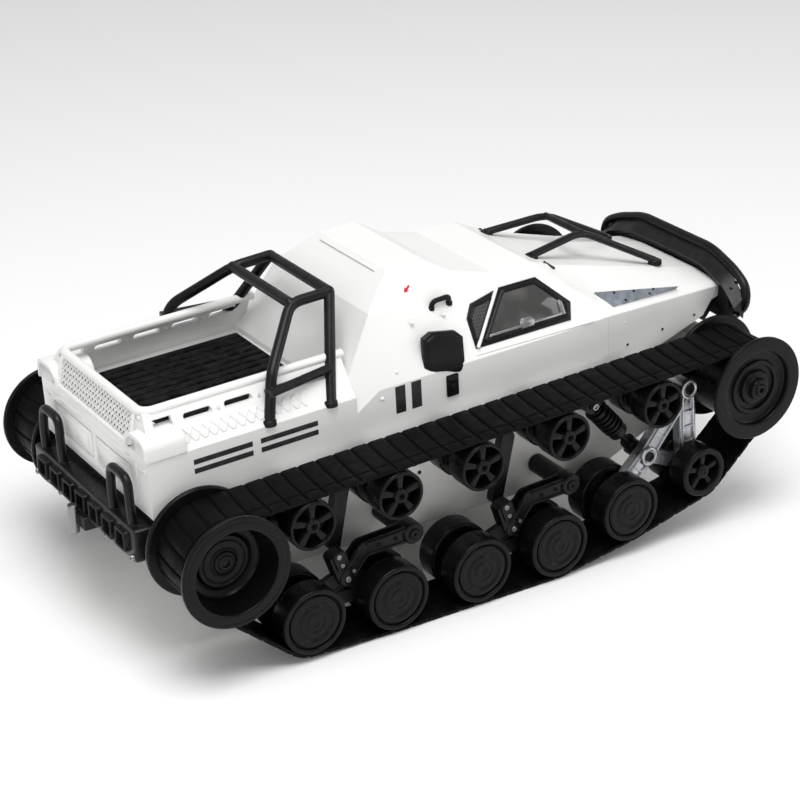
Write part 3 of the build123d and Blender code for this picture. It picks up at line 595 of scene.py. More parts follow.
def track(side_name, side):
    """Moulded rubber belt: domed pads between curved grooves, with a shoulder block on each."""
    spans = belt_spans(belt_circles(side_name))
    pads = round(belt_length(spans) / PAD_PITCH)
    pitch = belt_length(spans) / pads

    def lane(share):
        return Vector((0, side * (BELT_IN + share * (BELT_OUT - BELT_IN)), 0))

    tread = Shape()
    rows = []
    for pad in range(pads):
        for share, height in PAD_PROFILE:
            row = []
            for across, dip in ACROSS:
                sweep = GROOVE_SWEEP * (1 - across) ** 2 if across < SHOULDER else 0.0
                point, out = belt_point(spans, (pad + share) * pitch - sweep)
                level = max(min(height + 0.4 * dip, dip), -GROOVE_DEPTH)
                row.append(point + out * level + lane(across))
            point, out = belt_point(spans, (pad + share) * pitch)
            under = -BELT_THICK + (0.25 if 0.1 < share < 0.9 else 0.0)
            row += [point + out * under + lane(across) for across in (1.0, 0.66, 0.62, 0.38, 0.34, 0.0)]
            rows.append(row)
    rows.append(rows[0])
    tread.rings(rows, caps=False)
    # small lug at the inner end of each shoulder groove
    for pad in range(pads):
        point, out = belt_point(spans, (pad + 0.03) * pitch)
        foot = point + out * -1.2 + lane(SHOULDER + 0.012)
        tread.turn(foot, out, [(0, 0.9), (0.55, 0.9), (0.6, 0.0)], 0.2, 8)
    piece(f"tread_{side_name}", tread, [RUBBER], "hull", [f"track_{side_name}"])


# ------------------ wheels
# Wheel outlines hold (radius, distance from the middle plane).
FLANGED_DRUM = [(31.2, 73.0), (32.0, 73.8), (32.0, 75.6), (31.2, 76.4), (DRUM_RADIUS, 76.8),
                (DRUM_RADIUS, 114.0), (31.2, 114.4), (32.0, 115.0), (32.0, 116.9), (31.4, 117.4)]


def turned_wheel(node, side, outline, rounding, segments):
    """Wheel turned round a node's axle, with that axle's middle point and direction."""
    at, axis = middle_at(node), Vector((0, side, 0))
    wheel = Shape()
    wheel.turn(at, axis, outline, rounding, segments)
    return wheel, at, axis


def wheel_piece(name, wheel, body, node):
    """Piece in wheel black that stands for one CAD wheel."""
    piece(name, wheel, [WHEEL_BLACK], body, [node])


def spline_screw(shape, at, side, radius):
    """Wheel screw with a fine toothed rim."""
    rings = []
    for share, level in ((1, 0), (1, 1.6), (0.86, 2.1), (0.55, 2.1), (0.5, 1.0)):
        ring = []
        for step, angle in enumerate(full_turn(72)):
            tooth_gap = 0.07 if step % 6 < 2 and share > 0.8 else 0
            reach = radius * share * (1 - tooth_gap)
            ring.append(at + heading(angle) * reach + Vector((0, side * level, 0)))
        rings.append(ring)
    shape.rings(rings)


def spokes(shape, at, axis, hub, rim, base, top, narrow, wide):
    """Five straight spokes that widen from the hub to the rim; the first stands upright."""
    outline = [(hub, -narrow / 2), (rim, -wide / 2), (rim, wide / 2), (hub, narrow / 2)]
    for angle in full_turn(5):
        along = heading(angle + math.pi / 2)
        shape.slab(outline, (at, along, axis.cross(along), axis), base, top, 0.7)


def sprocket(side_name, side):
    """Drive wheel with a deep stepped dish and cleats round its drum."""
    node = f"sprocket_{side_name}"
    outline = [(3.2, 73.0), *FLANGED_DRUM, (29.6, 117.4), (29.3, 117.1), (28.9, 117.4), (25.2, 117.4),
               (24.5, 117.2), (24.2, 116.5), (23.4, 110.0), (22.4, 103.0), (21.9, 101.0), (20.6, 99.6),
               (18.0, 99.1), (16.0, 99.2), (15.6, 99.8), (15.3, 101.8), (14.9, 102.3),
               (13.2, 102.4), (12.9, 101.9), (12.4, 101.9), (12.1, 102.4), (8.8, 102.4),
               (8.5, 102.0), (8.0, 102.0), (7.7, 102.4), (6.6, 102.6), (6.3, 103.3), (5.4, 103.6),
               (3.2, 103.6)]
    wheel, at, axis = turned_wheel(node, side, outline, 0.35, 128)
    spline_screw(wheel, at + axis * 102.2, side, 4.6)
    for angle in full_turn(12):
        out = heading(angle)
        for lane in (79.5, 108.5):
            cleat = (at + axis * lane, axis, out.cross(axis), out)
            wheel.slab(rounded_box(2.2, 1.6, 0.7), cleat, DRUM_RADIUS - 0.2, DRUM_RADIUS + 0.25, 0.2)
    wheel_piece(f"drive_wheel_{side_name}", wheel, f"drive_{side_name}", node)


def idler(side_name, side):
    """Free front wheel with a raised ring, a long hub and its axle screw."""
    node = f"idler_{side_name}"
    outline = [(2.05, 73.0), *FLANGED_DRUM, (24.4, 117.4), (23.7, 117.2), (23.3, 116.4), (23.0, 114.0),
               (22.0, 113.3), (17.6, 113.0), (17.0, 113.3), (16.8, 114.6), (16.2, 115.0), (14.6, 115.0),
               (14.2, 114.6), (14.0, 113.0), (13.2, 112.6), (11.0, 112.6), (10.6, 113.0),
               (10.2, 115.0), (9.6, 115.4), (7.2, 115.5), (6.8, 116.0), (6.3, 119.0), (5.6, 119.6),
               (4.2, 119.7), (3.8, 119.3), (2.05, 119.3)]
    wheel, at, axis = turned_wheel(node, side, outline, 0.35, 128)
    wheel.screw(at + axis * 117.8, axis, 3.4, 2.6)
    wheel_piece(f"idler_wheel_{side_name}", wheel, f"idler_{side_name}", node)


def road_wheel(side_name, side, number):
    """Twin wheel with a deep gap between its tyres and a stepped outer face."""
    node = f"road_wheel_{side_name}_{number}"
    rim = radius_of(node)
    outline = [(0, 80.5), (5, 80.5), (5.6, 81.2), (14.6, 81.2), (15.6, 80.6), (16.0, 78.4), (16.6, 78.0),
               (rim - 0.9, 78.0), (rim, 78.8), (rim, 91.6), (rim - 0.9, 92.5), (16.4, 92.5),
               (15.8, 91.8), (15.4, 90.4), (5.6, 90.0), (3.5, 90.4), (3.5, 103.0), (5.6, 103.4),
               (15.4, 103.2), (15.8, 101.8), (16.4, 101.0), (rim - 0.9, 101.0), (rim, 101.9),
               (rim, 114.6), (rim - 0.4, 115.3), (rim - 1.0, 115.5), (17.0, 115.5), (16.6, 115.1),
               (16.3, 113.6), (15.7, 113.5), (15.3, 114.5), (14.9, 114.9), (13.6, 115.1), (12.0, 115.1),
               (11.6, 114.7), (11.2, 114.3), (9.6, 114.3), (9.2, 114.8), (8.8, 115.1), (6.2, 115.3),
               (5.9, 114.9), (5.4, 114.9), (5.1, 115.3), (2.6, 115.4), (2.3, 115.0), (0, 114.9)]
    wheel, _, _ = turned_wheel(node, side, outline, 0.3, 96)
    wheel_piece(f"bogie_wheel_{side_name}_{number}", wheel, f"wheel_{side_name}_{number}", node)


def return_roller(side_name, side, number):
    """Twin roller under the belt's top run, with an open spoked face."""
    node = f"return_roller_{side_name}_{number}"
    rim = radius_of(node)
    outline = [(2.05, 78.0), (rim - 0.8, 78.0), (rim, 78.8), (rim, 91.7), (rim - 0.8, 92.5),
               (rim - 3.4, 92.8), (rim - 3.4, 100.7), (rim - 0.8, 101.0), (rim, 101.8),
               (rim, 114.8), (rim - 0.7, 115.5), (rim - 1.5, 115.5), (rim - 2.0, 115.0),
               (rim - 2.3, 107.2), (rim - 3.2, 106.6), (4.6, 106.6), (4.3, 107.2), (4.2, 114.9),
               (3.6, 115.4), (2.05, 115.4)]
    wheel, at, axis = turned_wheel(node, side, outline, 0.3, 80)
    spokes(wheel, at, axis, 3.6, rim - 1.6, 106.0, 114.3, 2.6, 4.6)
    wheel.screw(at + axis * 112.6, axis, 2.6, 2.2)
    wheel_piece(f"carrier_roller_{side_name}_{number}", wheel, f"roller_{side_name}_{number}", node)


def front_wheel(side_name, side):
    """Small twin wheel on the front rocker, with an open spoked face."""
    node = f"front_wheel_{side_name}"
    rim = radius_of(node)
    outline = [(0, 78.0), (rim - 0.8, 78.0), (rim, 78.8), (rim, 91.6), (rim - 0.9, 92.5), (3.5, 92.5),
               (3.5, 101.0), (rim - 0.9, 101.0), (rim, 101.9), (rim, 114.7), (rim - 0.8, 115.5),
               (rim - 3.2, 115.5), (rim - 3.8, 115.0), (rim - 4.2, 107.5), (rim - 5.0, 107.0),
               (4.8, 107.0), (4.5, 107.5), (4.3, 114.4), (3.6, 115.0), (0, 115.0)]
    wheel, at, axis = turned_wheel(node, side, outline, 0.35, 80)
    spokes(wheel, at, axis, 3.8, rim - 3.4, 106.4, 113.6, 2.6, 4.2)
    wheel.screw(at + axis * 114.2, axis, 2.4, 1.2)
    wheel_piece(f"lead_wheel_{side_name}", wheel, f"small_wheel_{side_name}", node)


# ------------------ cab sides, windows and hood
# Window outlines, on the leaning panel above the sill.
FRAME_OUTLINE = [(11.5, 6.0), (77.5, 5.6), (81.6, 15.8), (64.6, 35.6), (39.6, 35.8), (17.8, 31.5),
                 (12.4, 23.8)]
PANE_OUTLINE = [(19.0, 9.0), (75.4, 9.0), (77.8, 15.6), (62.8, 33.0), (41.0, 33.2), (38.4, 31.4)]
SCREEN_OUTLINE = [(13.4, 10.4), (14.8, 10.6), (32.0, 31.2), (19.4, 29.2), (14.6, 23.0)]
RAIL_OUTLINE = [(21.5, 9.8), (74.0, 9.8), (74.0, 11.4), (22.5, 11.4)]
LATCH_OUTLINE = [(44.0, 8.8), (52.0, 8.8), (53.5, 11.8), (51.5, 14.8), (45.0, 14.8), (43.0, 11.8)]
BRACKET_OUTLINE = [(72.0, 9.8), (75.0, 9.8), (75.2, 17.6), (73.6, 19.0), (72.4, 17.0)]


def window(side_name, side):
    """Side window: black frame, tinted pane with a lower rail and latch, screened quarter light."""
    place = side_place(side, 0, SILL, WALL, WINDOW_LEAN)
    glass = Shape()
    glass.slab(FRAME_OUTLINE, place, -1.5, 0.7, 0.5)
    glass.slab(shrunk(PANE_OUTLINE, 1.0), place, 0.2, 0.9, 0.3, 1)
    glass.slab(SCREEN_OUTLINE, place, 0.2, 0.95, 0.3, 2)
    for outline, radius in ((PANE_OUTLINE, 1.32), (SCREEN_OUTLINE, 0.78)):
        loop = [spot(place, a, b, 0.7) for a, b in outline]
        for first, second in zip(loop, loop[1:] + loop[:1]):
            glass.tube([first, second], radius, sides=8)
    # pillar between the two lights
    glass.tube([spot(place, 12.6, 6.2, 1.0), spot(place, 37.4, 35.8, 1.0)], 1.1, sides=10, kind=3)
    glass.slab(RAIL_OUTLINE, place, 0.8, 1.7, 0.4, 4)
    glass.slab(LATCH_OUTLINE, place, 0.8, 2.3, 0.5, 4)
    glass.slab(rectangle(46.0, 50.0, 10.8, 13.0), place, 2.0, 2.8, 0.3, 4)
    glass.slab(BRACKET_OUTLINE, place, 0.8, 1.9, 0.4, 4)
    for a, b in ((26.0, 10.6), (40.0, 10.6), (57.0, 10.6), (73.7, 16.0)):
        glass.screw(spot(place, a, b, 1.6), place[3], 0.6, 0.4, 4)
    piece(f"window_{side_name}", glass, [SATIN_BLACK, GLASS, SCREEN, WHITE, STEEL], "hull",
          ["cab_windows"])


def hatch(trim, side):
    """Domed hatch with cut corners, and the lock plate below it."""
    place = side_place(side, -10.6, 137.4, 65.0, 8.0)
    outline = [(-13.6, -5.6), (-8.4, -11.0), (9.0, -14.4), (12.8, -12.6), (13.6, 5.8), (8.8, 10.6),
               (-7.0, 13.8), (-12.6, 11.4)]
    rings = []
    for scale, level in ((0.6, -9.0), (1.0, -1.8), (1.0, 0.4), (0.95, 1.2), (0.86, 1.5), (0.82, 2.2),
                         (0.74, 2.5)):
        rings.append([spot(place, a * scale, b * scale, level) for a, b in outline])
    trim.rings(rings)
    lock = side_place(side, -7.5, 117.4, WALL, 0.0)
    trim.slab(rounded_box(3.9, 6.6, 0.8), lock, -0.5, 1.1, 0.4)
    trim.slab(rounded_box(2.4, 1.3, 0.5), shifted(lock, 0.0, 3.4), 0.8, 1.9, 0.4)
    trim.slab(rounded_box(1.5, 2.4, 0.5), shifted(lock, 0.0, -1.8), 0.8, 1.5, 0.3)


def grab_handle(trim, side):
    """Bent handle beside the roof, with a collar at each foot."""
    route = on_side(side, (-8.0, 49.5, 158.0), (-7.4, 51.3, 162.8), (4.0, 50.3, 162.8),
                    (4.6, 48.5, 157.5))
    trim.tube(route, 1.5, bend=3.0, sides=12)
    for foot in (route[0], route[-1]):
        trim.turn(foot, route[1] - route[0], [(0, 1.8), (1.9, 1.8), (2.3, 0.0)], 0.4, 20)


def markings(trim, side):
    """Plain stripes where the maker prints lettering, and an arrow that points down to the rear."""
    wall = side_place(side, 0, 0, WALL, 0.0)
    stripes = [(low, low + 35.5, level, level + 3.0) for low in (-171.0, -130.5)
               for level in (113.6, 119.0)]
    stripes += [(low, low + 6.5, 110.5, 127.0) for low in (-45.0, -34.5)]
    for stripe in stripes:
        trim.slab(rectangle(*stripe), wall, -0.2, 0.12, 0.05, 1)
    upper = mirrored(side, -20.0, 45.0, 170.5)
    rise = upper - mirrored(side, -20.0, 48.0, 165.2)
    along = (mirrored(side, -10.0, 45.0, 169.2) - upper).normalized()
    outward = along.cross(rise).normalized() * -side
    facet = (upper + rise * 0.2, along, along.cross(outward) * side, outward)
    ahead, beside = Vector((-0.75, -0.66)), Vector((0.66, -0.75))
    arrow = [(-2.6, 0.6), (0.2, 0.6), (0.2, 1.6), (2.9, 0.0), (0.2, -1.6), (0.2, -0.6), (-2.6, -0.6)]
    trim.slab([tuple(ahead * a + beside * b) for a, b in arrow], facet, -0.3, 0.2, 0.05, 3)


def side_fittings(side_name, side):
    """Hatch, handle, markings, rivets and the drip ridge under the window on one body side."""
    trim = Shape()
    hatch(trim, side)
    grab_handle(trim, side)
    markings(trim, side)
    for u, v, y in ((-41.8, 134.0, 65.0), (-53.5, 122.6, WALL), (-24.0, 156.0, 55.6),
                    (-2.0, 154.0, 53.6), (118.0, 119.0, 62.6)):
        rivet = [(0, 0.9), (0.9, 0.7), (1.4, -0.6)]
        trim.turn(mirrored(side, u, y, v), (0, side, 0.3), rivet, 0.3, 14, 2)
    panel = side_place(side, 0, SILL, WALL, WINDOW_LEAN)
    trim.tube([spot(panel, 10.0, 2.4), spot(panel, 92.0, 0.8)], 0.45, sides=8, kind=2)
    piece(f"side_fittings_{side_name}", trim, [SATIN_BLACK, MARKING, WHITE, RED_INK], "hull",
          ["side_covers"])


def hood_fittings(side_name, side):
    """Tinted light panel, cowl slot and seam line on one half of the hood."""
    trim = Shape()
    corners = on_side(side, (104.0, 51.6, 137.6), (111.5, 60.0, 129.4), (166.0, 52.3, 124.9))
    x = (corners[2] - corners[0]).normalized()
    z = (corners[1] - corners[0]).cross(x).normalized()
    if z.z < 0:
        z = -z
    y = z.cross(x)
    panel = (corners[0], x, y, z)
    flat = [((c - corners[0]).dot(x), (c - corners[0]).dot(y)) for c in corners]
    trim.slab(flat, panel, -1.5, 1.5, 0.25, 1)
    inner = [Vector(point) for point in shrunk(flat, 1.6)]
    for start, share in ((0, 0.18), (0, 0.45), (0, 0.72), (1, 0.2), (1, 0.6)):
        a, b = inner[start].lerp(inner[2], share)
        trim.screw(spot(panel, a, b, 1.4), z, 0.8, 0.4)
    seam = on_side(side, (76.5, 0.0, 159.5), (80.5, 27.0, 157.6), (84.5, 37.5, 154.9),
                   (90.0, 50.0, 146.4))
    trim.tube(seam, 0.35, sides=6, kind=2)
    trim.tube(on_side(side, (81.4, 33.0, 157.3), (84.6, 39.4, 154.4)), 1.1, sides=10)
    piece(f"hood_fittings_{side_name}", trim, [SATIN_BLACK, LIGHT_PANEL, GREY], "hull")


def nose():
    """Lower nose of the body, between the hood edge and the front of the hull."""
    def half_width(u):
        return 65.45 - (u - 104.0) * 0.1596

    outline = [(104.0, 94.2), (150.0, 94.2), (186.0, 101.0), (200.4, 116.4), (104.0, 127.2)]
    lower = Shape()
    lower.rings([[mirrored(side, u, half_width(u), v) for u, v in outline] for side in SIDES.values()])
    for side in SIDES.values():
        for u in (120.0, 150.0, 178.0):
            lower.screw(mirrored(side, u, half_width(u) - 0.05, 104.0), (0, side, 0), 0.8, 0.5, 1)
    piece("nose_skirt", lower, [WHITE, SATIN_BLACK], "hull")


# ------------------ cargo bed
def ribbed_mat():
    mat = Shape()
    place = (deck(0, 0, 125.1), FORWARD, LEFTWARD, UPWARD)
    mat.slab(rectangle(-170.4, -79.2, -53.4, 53.4), place, 0.0, 1.6, 0.3)
    for row in range(15):
        y = -49.0 + 7.0 * row
        mat.slab(rectangle(-169.0, -80.6, y - 2.5, y + 2.5), place, 1.4, 3.0, 0.8)
    piece("ribbed_mat", mat, [MAT_RUBBER], "hull", ["bed_mat"])


def perforated_panel(fit):
    """Panel of round holes that leans between the tailgate rail and the floor, in a bar frame."""
    foot, head = deck(-196.4, 0, 130.2), deck(-191.9, 0, 147.4)
    height = (head - foot).length
    up = (head - foot).normalized()
    place = (foot, LEFTWARD, up, up.cross(LEFTWARD))
    fit.slab(rectangle(-PANEL_HALF, PANEL_HALF, 0.0, height), place, -1.2, -0.7, 0.1, 3)
    columns, rows = 24, 5
    half_y, half_v = PANEL_HALF / columns, height / rows / 2
    hole, cell = [], []
    for corner in full_turn(8):
        a, b = math.cos(corner + math.pi / 8), math.sin(corner + math.pi / 8)
        reach = min(half_y / abs(a), half_v / abs(b))
        hole.append((1.05 * a, 1.05 * b))
        cell.append((reach * a, reach * b))
    for row in range(rows):
        for column in range(columns):
            middle = shifted(place, (2 * column + 1) * half_y - PANEL_HALF, (2 * row + 1) * half_v)
            rings = []
            for outline, level in ((cell, 0.0), (hole, 0.0), (hole, -0.8), (cell, -0.8)):
                rings.append([spot(middle, a, b, level) for a, b in outline])
            fit.rings(rings, caps=False)
    edge = PANEL_HALF + 1.4
    for y in (-edge, edge):
        fit.tube([spot(place, y, 0.0), spot(place, y, height)], 1.4, sides=10)
    fit.tube([spot(place, -edge, 0.0), spot(place, edge, 0.0)], 1.4, sides=10)


def corner_covers(fit):
    """Half-round covers on the deck at the rear corners, open to the rear."""
    arch = []
    for inward in (0.0, 2.0):
        wide, narrow = 10.0 - inward, 6.0 - inward
        bow = [(43.4 + inward, BED_FLOOR)]
        for step in range(9):
            angle = math.pi * step / 16
            bow.append((53.4 - wide * math.cos(angle), 130.4 + wide * math.sin(angle)))
        for step in range(7):
            angle = math.pi * step / 12
            bow.append((62.8 + narrow * math.sin(angle), 134.4 + narrow * math.cos(angle)))
        bow.append((68.8 - inward, BED_FLOOR))
        arch += bow[::-1] if inward else bow
    for side in SIDES.values():
        fit.rings([[mirrored(side, u, y, v) for y, v in arch] for u in (-199.0, -174.6)])


def tailgate(fit):
    """Two raised panels on the rear face, with screws at the upper corners."""
    gate = (deck(-197.6, 0, 111.0), LEFTWARD, UPWARD, -FORWARD)
    for low in (-47.0, 3.0):
        panel = rectangle(low, low + 44.0, -7.5, 7.5)
        fit.slab(panel, gate, -0.5, 0.9, 0.7)
        fit.slab(shrunk(panel, 3.0), gate, 0.5, 1.5, 0.6)
    for y in (-62.5, -58.0, 58.0, 62.5):
        fit.screw(deck(-197.5, y, 121.0), -FORWARD, 1.2, 0.8)


def bed_walls(fit):
    """Screws between the slots of the bed walls, and crossed ribs under them on the outside."""
    for side in SIDES.values():
        wall = side_place(side, 0.0, BED_SLOTS, 57.4, BED_LEAN)
        for u in (-148.7, -124.2, -99.7):
            fit.screw(spot(wall, u, 0.0, 0.3), wall[3], 0.9, 0.5, 2)
            fit.screw(mirrored(side, u, 53.4, BED_SLOTS), (0, -side * 0.8, 0.6), 0.9, 0.8, 2)
        for column in range(13):
            first = -172.0 + 5.6 * column
            for foot, head in ((first, first + 5.0), (first + 5.0, first)):
                bar = [(foot - 0.8, -13.5), (foot + 0.8, -13.5), (head + 0.8, -5.5), (head - 0.8, -5.5)]
                fit.slab(bar, wall, -0.5, 0.45, 0.35)


def cargo_fittings():
    fit = Shape()
    perforated_panel(fit)
    corner_covers(fit)
    tailgate(fit)
    bed_walls(fit)
    # fine line near the top of the sloping panel behind the cab
    fit.tube([deck(-31.8, -30.0, 181.0), deck(-31.8, 30.0, 181.0)], 0.4, sides=6, kind=2)
    piece("cargo_fittings", fit, [WHITE, SATIN_BLACK, GREY, SCREEN_BACK], "hull")


# ------------------ bars and bumpers
def cage():
    """Roll cage behind the cab: two bent side frames joined by cross bars."""
    bars = Shape()
    for side in SIDES.values():
        rear = on_side(side, (-123.6, 66.4, BED_FLOOR), (-117.0, 60.0, 152.6), (-88.0, 33.2, 177.6),
                       (-63.4, 33.6, 178.2))
        front = [mirrored(side, -85.4, 66.4, BED_FLOOR), rear[-1]]
        bars.tube(rear, CAGE_BAR, bend=7.0)
        bars.tube(front, CAGE_BAR)
        bars.tube(on_side(side, (-121.4, 65.3, 145.0), (-79.6, 57.4, 145.0)), 2.6)
        for foot in (rear[0], front[0]):
            bars.turn(foot, UPWARD, [(0, 2.6), (3.2, 2.6), (3.9, 2.0), (4.0, -0.6)], 0.6, 28)
    for u, v in ((-88.0, 177.6), (-63.4, 178.2)):
        bars.tube([deck(u, -34.0, v), deck(u, 34.0, v)], CAGE_BAR)
        for side in SIDES.values():
            knob = [(CAGE_BAR + 0.05, -2.0), (CAGE_BAR + 0.05, 1.2), (0, 3.2)]
            bars.turn(mirrored(side, u, 33.2, v), (0, side, 0), knob, 1.8, 24, steps=6)
    piece("cage_bars", bars, [BAR_BLACK], "hull", ["roll_cage"])


def hood_bars():
    """Guard over the hood: two bent bars with a cross bar between their peaks."""
    bars = Shape()
    for side in SIDES.values():
        route = on_side(side, (79.0, 23.8, 159.2), (119.9, 18.0, 162.0), (170.0, 25.2, 133.0))
        bars.tube(route, GUARD_BAR, bend=9.0, flat=0.8)
        for foot, tilt in ((route[0], -0.25), (route[2], 0.15)):
            bars.turn(foot - UPWARD * 1.6, UPWARD + FORWARD * tilt,
                      [(0, 2.4), (3.4, 2.4), (4.2, 1.8), (4.4, -0.6)], 0.6, 24)
    bars.tube([deck(119.6, -18.4, 161.6), deck(119.6, 18.4, 161.6)], 2.4, flat=0.85)
    piece("hood_bars", bars, [BAR_BLACK], "hull", ["hood_guard"])


def nose_bumper():
    """Hoop over a deep curved channel, with ribs behind it and brackets to the nose."""
    def bowed(u, y, v):
        return deck(u - BUMPER_BOW * y ** 2, y, v)

    bars = Shape()
    half = [(207.4, 34.0, 134.4), (206.4, 57.0, 127.6), (204.8, 70.0, 121.0), (203.6, 71.6, 109.0),
            (201.6, 62.0, 99.6)]
    hoop = [deck(u, -y, v) for u, y, v in reversed(half)] + [deck(u, y, v) for u, y, v in half]
    bars.tube(hoop, HOOP_BAR, bend=7.0)
    rings = []
    for step in range(41):
        y = -71.0 + 142.0 * step / 40
        corner = max(0.0, abs(y) - 58)
        top = 132.4 - 0.3 * max(0.0, abs(y) - 34) - 0.5 * corner
        low = 97.6 + 0.6 * corner
        section = [(206.4, top), (207.2, top - 1.4), (205.6, top - 14.0), (203.0, low + 0.4),
                   (199.4, low), (198.8, low + 1.0), (201.8, top - 12.0), (202.2, top - 8.4),
                   (198.6, top - 7.0), (198.4, top - 5.4)]
        rings.append([bowed(u, y, v) for u, v in section])
    bars.rings(rings)
    for step in range(9):
        y = -62.0 + 15.5 * step
        bars.tube([bowed(202.6, y, 119.0), bowed(200.0, y, 102.5)], 1.2, sides=8)
        bars.tube([bowed(206.6, y, 122.0), bowed(203.6, y, 103.0)], 1.2, sides=8)
    for side in SIDES.values():
        bars.tube(on_side(side, (202.6, 44.0, 108.0), (187.2, 49.4, 98.2)), 2.6)
        bars.tube(on_side(side, (181.0, 30.0, 101.0), (201.0, 30.0, 101.0)), 2.6)
        for v in (107.0, 115.0):
            bars.screw(mirrored(side, 203.0, 58.0, v), FORWARD, 1.6, 1.8)
    piece("nose_bumper", bars, [BAR_BLACK], "hull", ["front_bumper"])


def tail_bumper():
    """Channel bumper with a slotted face, two lifting loops and a pintle hook."""
    bars = Shape()
    back = (Vector((-197.5, 0, 71.0)), LEFTWARD, UP, REARWARD)
    bars.slab(rounded_box(65.5, 9.8, 2.5), back, -9.0, 6.0, 1.5)
    for column in range(7):
        slot = shifted(back, -51.0 + 17.0 * column, 0.0)
        rings = []
        for inward, level in ((0.0, 6.0), (0.4, 8.4), (1.2, 8.8), (2.0, 8.4), (2.4, 6.2)):
            outline = shrunk(rounded_box(6.4, 6.2, 1.5), inward)
            rings.append([spot(slot, a, b, level) for a, b in outline])
        bars.rings(rings, caps=False)
    flange = [(2.6, 5.0), (3.8, 4.4), (4.0, 0.0), (3.8, -2.0)]
    for side in SIDES.values():
        for y in (30.0, 62.0):
            bars.screw(Vector((-203.4, side * y, 64.0)), REARWARD, 1.8, 1.8, 1)
        route = [Vector((x, side * y, z)) for x, y, z in (
            (-199.5, 33.0, 76.0), (-200.6, 33.0, 90.0), (-200.6, 33.5, 107.0),
            (-200.6, 54.5, 107.0), (-200.6, 56.0, 90.0), (-199.5, 56.0, 76.0))]
        bars.tube(route, LOOP_BAR, bend=6.0)
        for foot in (route[0], route[-1]):
            bars.turn(foot, UP, flange, 0.5, 24)
    hook = (Vector((-204.0, 0, 62.0)), LEFTWARD, UP, REARWARD)
    bars.slab(rounded_box(11.0, 4.0, 1.2), hook, -4.0, 4.6, 0.8)
    pintle = [(0, 17.4), (3.0, 17.4), (3.2, 16.6), (3.2, 1.0), (2.6, 0.2), (0, 0.2)]
    bars.turn(Vector((-210.2, 0, 53.4)), UP, pintle, 0.4, 32, 1)
    piece("tail_bumper", bars, [BAR_BLACK, STEEL], "hull", ["rear_bumper"])


# ------------------ running gear and hull sides
def arm_details(side_name, side, number):
    """Boss cap, ribs, pinch screws and bogie knuckle of a trailing arm."""
    axis = Vector((0, side, 0))
    pivot = on_middle(pin(f"arm_swing_{side_name}_{number}"))
    tip = on_middle(pin(f"bogie_rock_{side_name}_{number}"))
    elbow = Vector((tip.x + 11.5, 0, pivot.z - 1.5))
    trim = Shape()
    boss = [(0, 101.6), (3.2, 101.6), (3.6, 102.2), (5.2, 102.2), (6.4, 101.6), (6.6, 100.4),
            (6.6, 93.0), (5.9, 92.4), (5.9, 67.0)]
    trim.turn(pivot, axis, boss, 0.4, 40)
    trim.screw(pivot + axis * 101.2, axis, 2.6, 1.6)
    for start, stop in ((pivot, elbow), (elbow, tip)):
        bar = trim.edge_ribs(start, stop, axis, 4.2, 1.4, (2.0, 1.0), (100.2, 101.6), 0.5)
        for share in (0.35, 0.7):
            trim.screw(spot(bar, (stop - start).length * share, 0.0, 100.4), axis, 1.2, 1.0)
    trim.turn(tip, axis, [(0, 102.0), (2.6, 102.0), (4.6, 101.6), (5.0, 100.4)], 0.4, 32)
    trim.screw(tip + axis * 101.6, axis, 1.7, 1.2, 1)
    # knuckle that carries the bogie pin, with its clamp screws
    knuckle = (Vector((0.34, 0, -0.94)), Vector((0.94, 0, 0.34)), axis)
    trim.slab(rounded_box(10.5, 5.4, 3.0), (tip + Vector((-2.6, 0, 7.0)), *knuckle), 93.0, 101.0, 0.8)
    trim.slab(rounded_box(6.0, 3.4, 1.5), (tip + Vector((-4.4, 0, 12.0)), *knuckle), 100.6, 102.4, 0.6)
    for x, z, radius in ((-5.6, 15.4, 1.5), (-3.6, 9.6, 1.2), (3.6, 4.4, 1.1)):
        trim.screw(tip + Vector((x, side * 102.0, z)), axis, radius, 1.1, 1)
    piece(f"arm_fittings_{side_name}_{number}", trim, [SATIN_BLACK, STEEL],
          f"arm_{side_name}_{number}")


def beam_details(side_name, side, number):
    """Stiffening ribs on the outer face of a bogie beam."""
    trim = Shape()
    tip = on_middle(pin(f"bogie_rock_{side_name}_{number}"))
    for wheel in (2 * number - 1, 2 * number):
        hub = middle_at(f"road_wheel_{side_name}_{wheel}")
        trim.edge_ribs(hub, tip, Vector((0, side, 0)), 4.4, 1.4, (6.5, 5.0), (98.2, 98.9), 0.3)
    piece(f"beam_fittings_{side_name}_{number}", trim, [SATIN_BLACK], f"beam_{side_name}_{number}")


def rocker_details(side_name, side):
    """Ribs, webs, eye rings and socket screws on the cast front rocker."""
    trim = Shape()
    axis = Vector((0, side, 0))
    pivot = on_middle(pin(f"rocker_swing_{side_name}"))
    eye = on_middle(pin(f"damper_stroke_{side_name}"))
    lead = middle_at(f"front_wheel_{side_name}")
    rear = middle_at(f"road_wheel_{side_name}_5")
    for start, stop in ((pivot, eye), (eye, rear), (pivot, lead)):
        bar = trim.edge_ribs(start, stop, axis, 4.6, 1.5, (4.0, 5.0), (99.4, 101.2), 0.6)
        for share in (0.3, 0.5, 0.7):
            a = (stop - start).length * share
            trim.slab(rectangle(a - 0.8, a + 0.8, -3.6, 3.6), bar, 99.4, 100.6, 0.4)
    for at, radius in ((pivot, 6.4), (eye, 6.2)):
        ring = [(0, 101.8), (radius - 2.4, 101.8), (radius - 1.8, 102.6), (radius - 0.6, 102.4),
                (radius, 101.4), (radius, 99.6)]
        trim.turn(at, axis, ring, 0.4, 40)
        trim.screw(at + axis * 101.4, axis, radius - 3.0, 1.4, 1)
    piece(f"rocker_fittings_{side_name}", trim, [ALLOY, SATIN_BLACK], f"rocker_{side_name}")


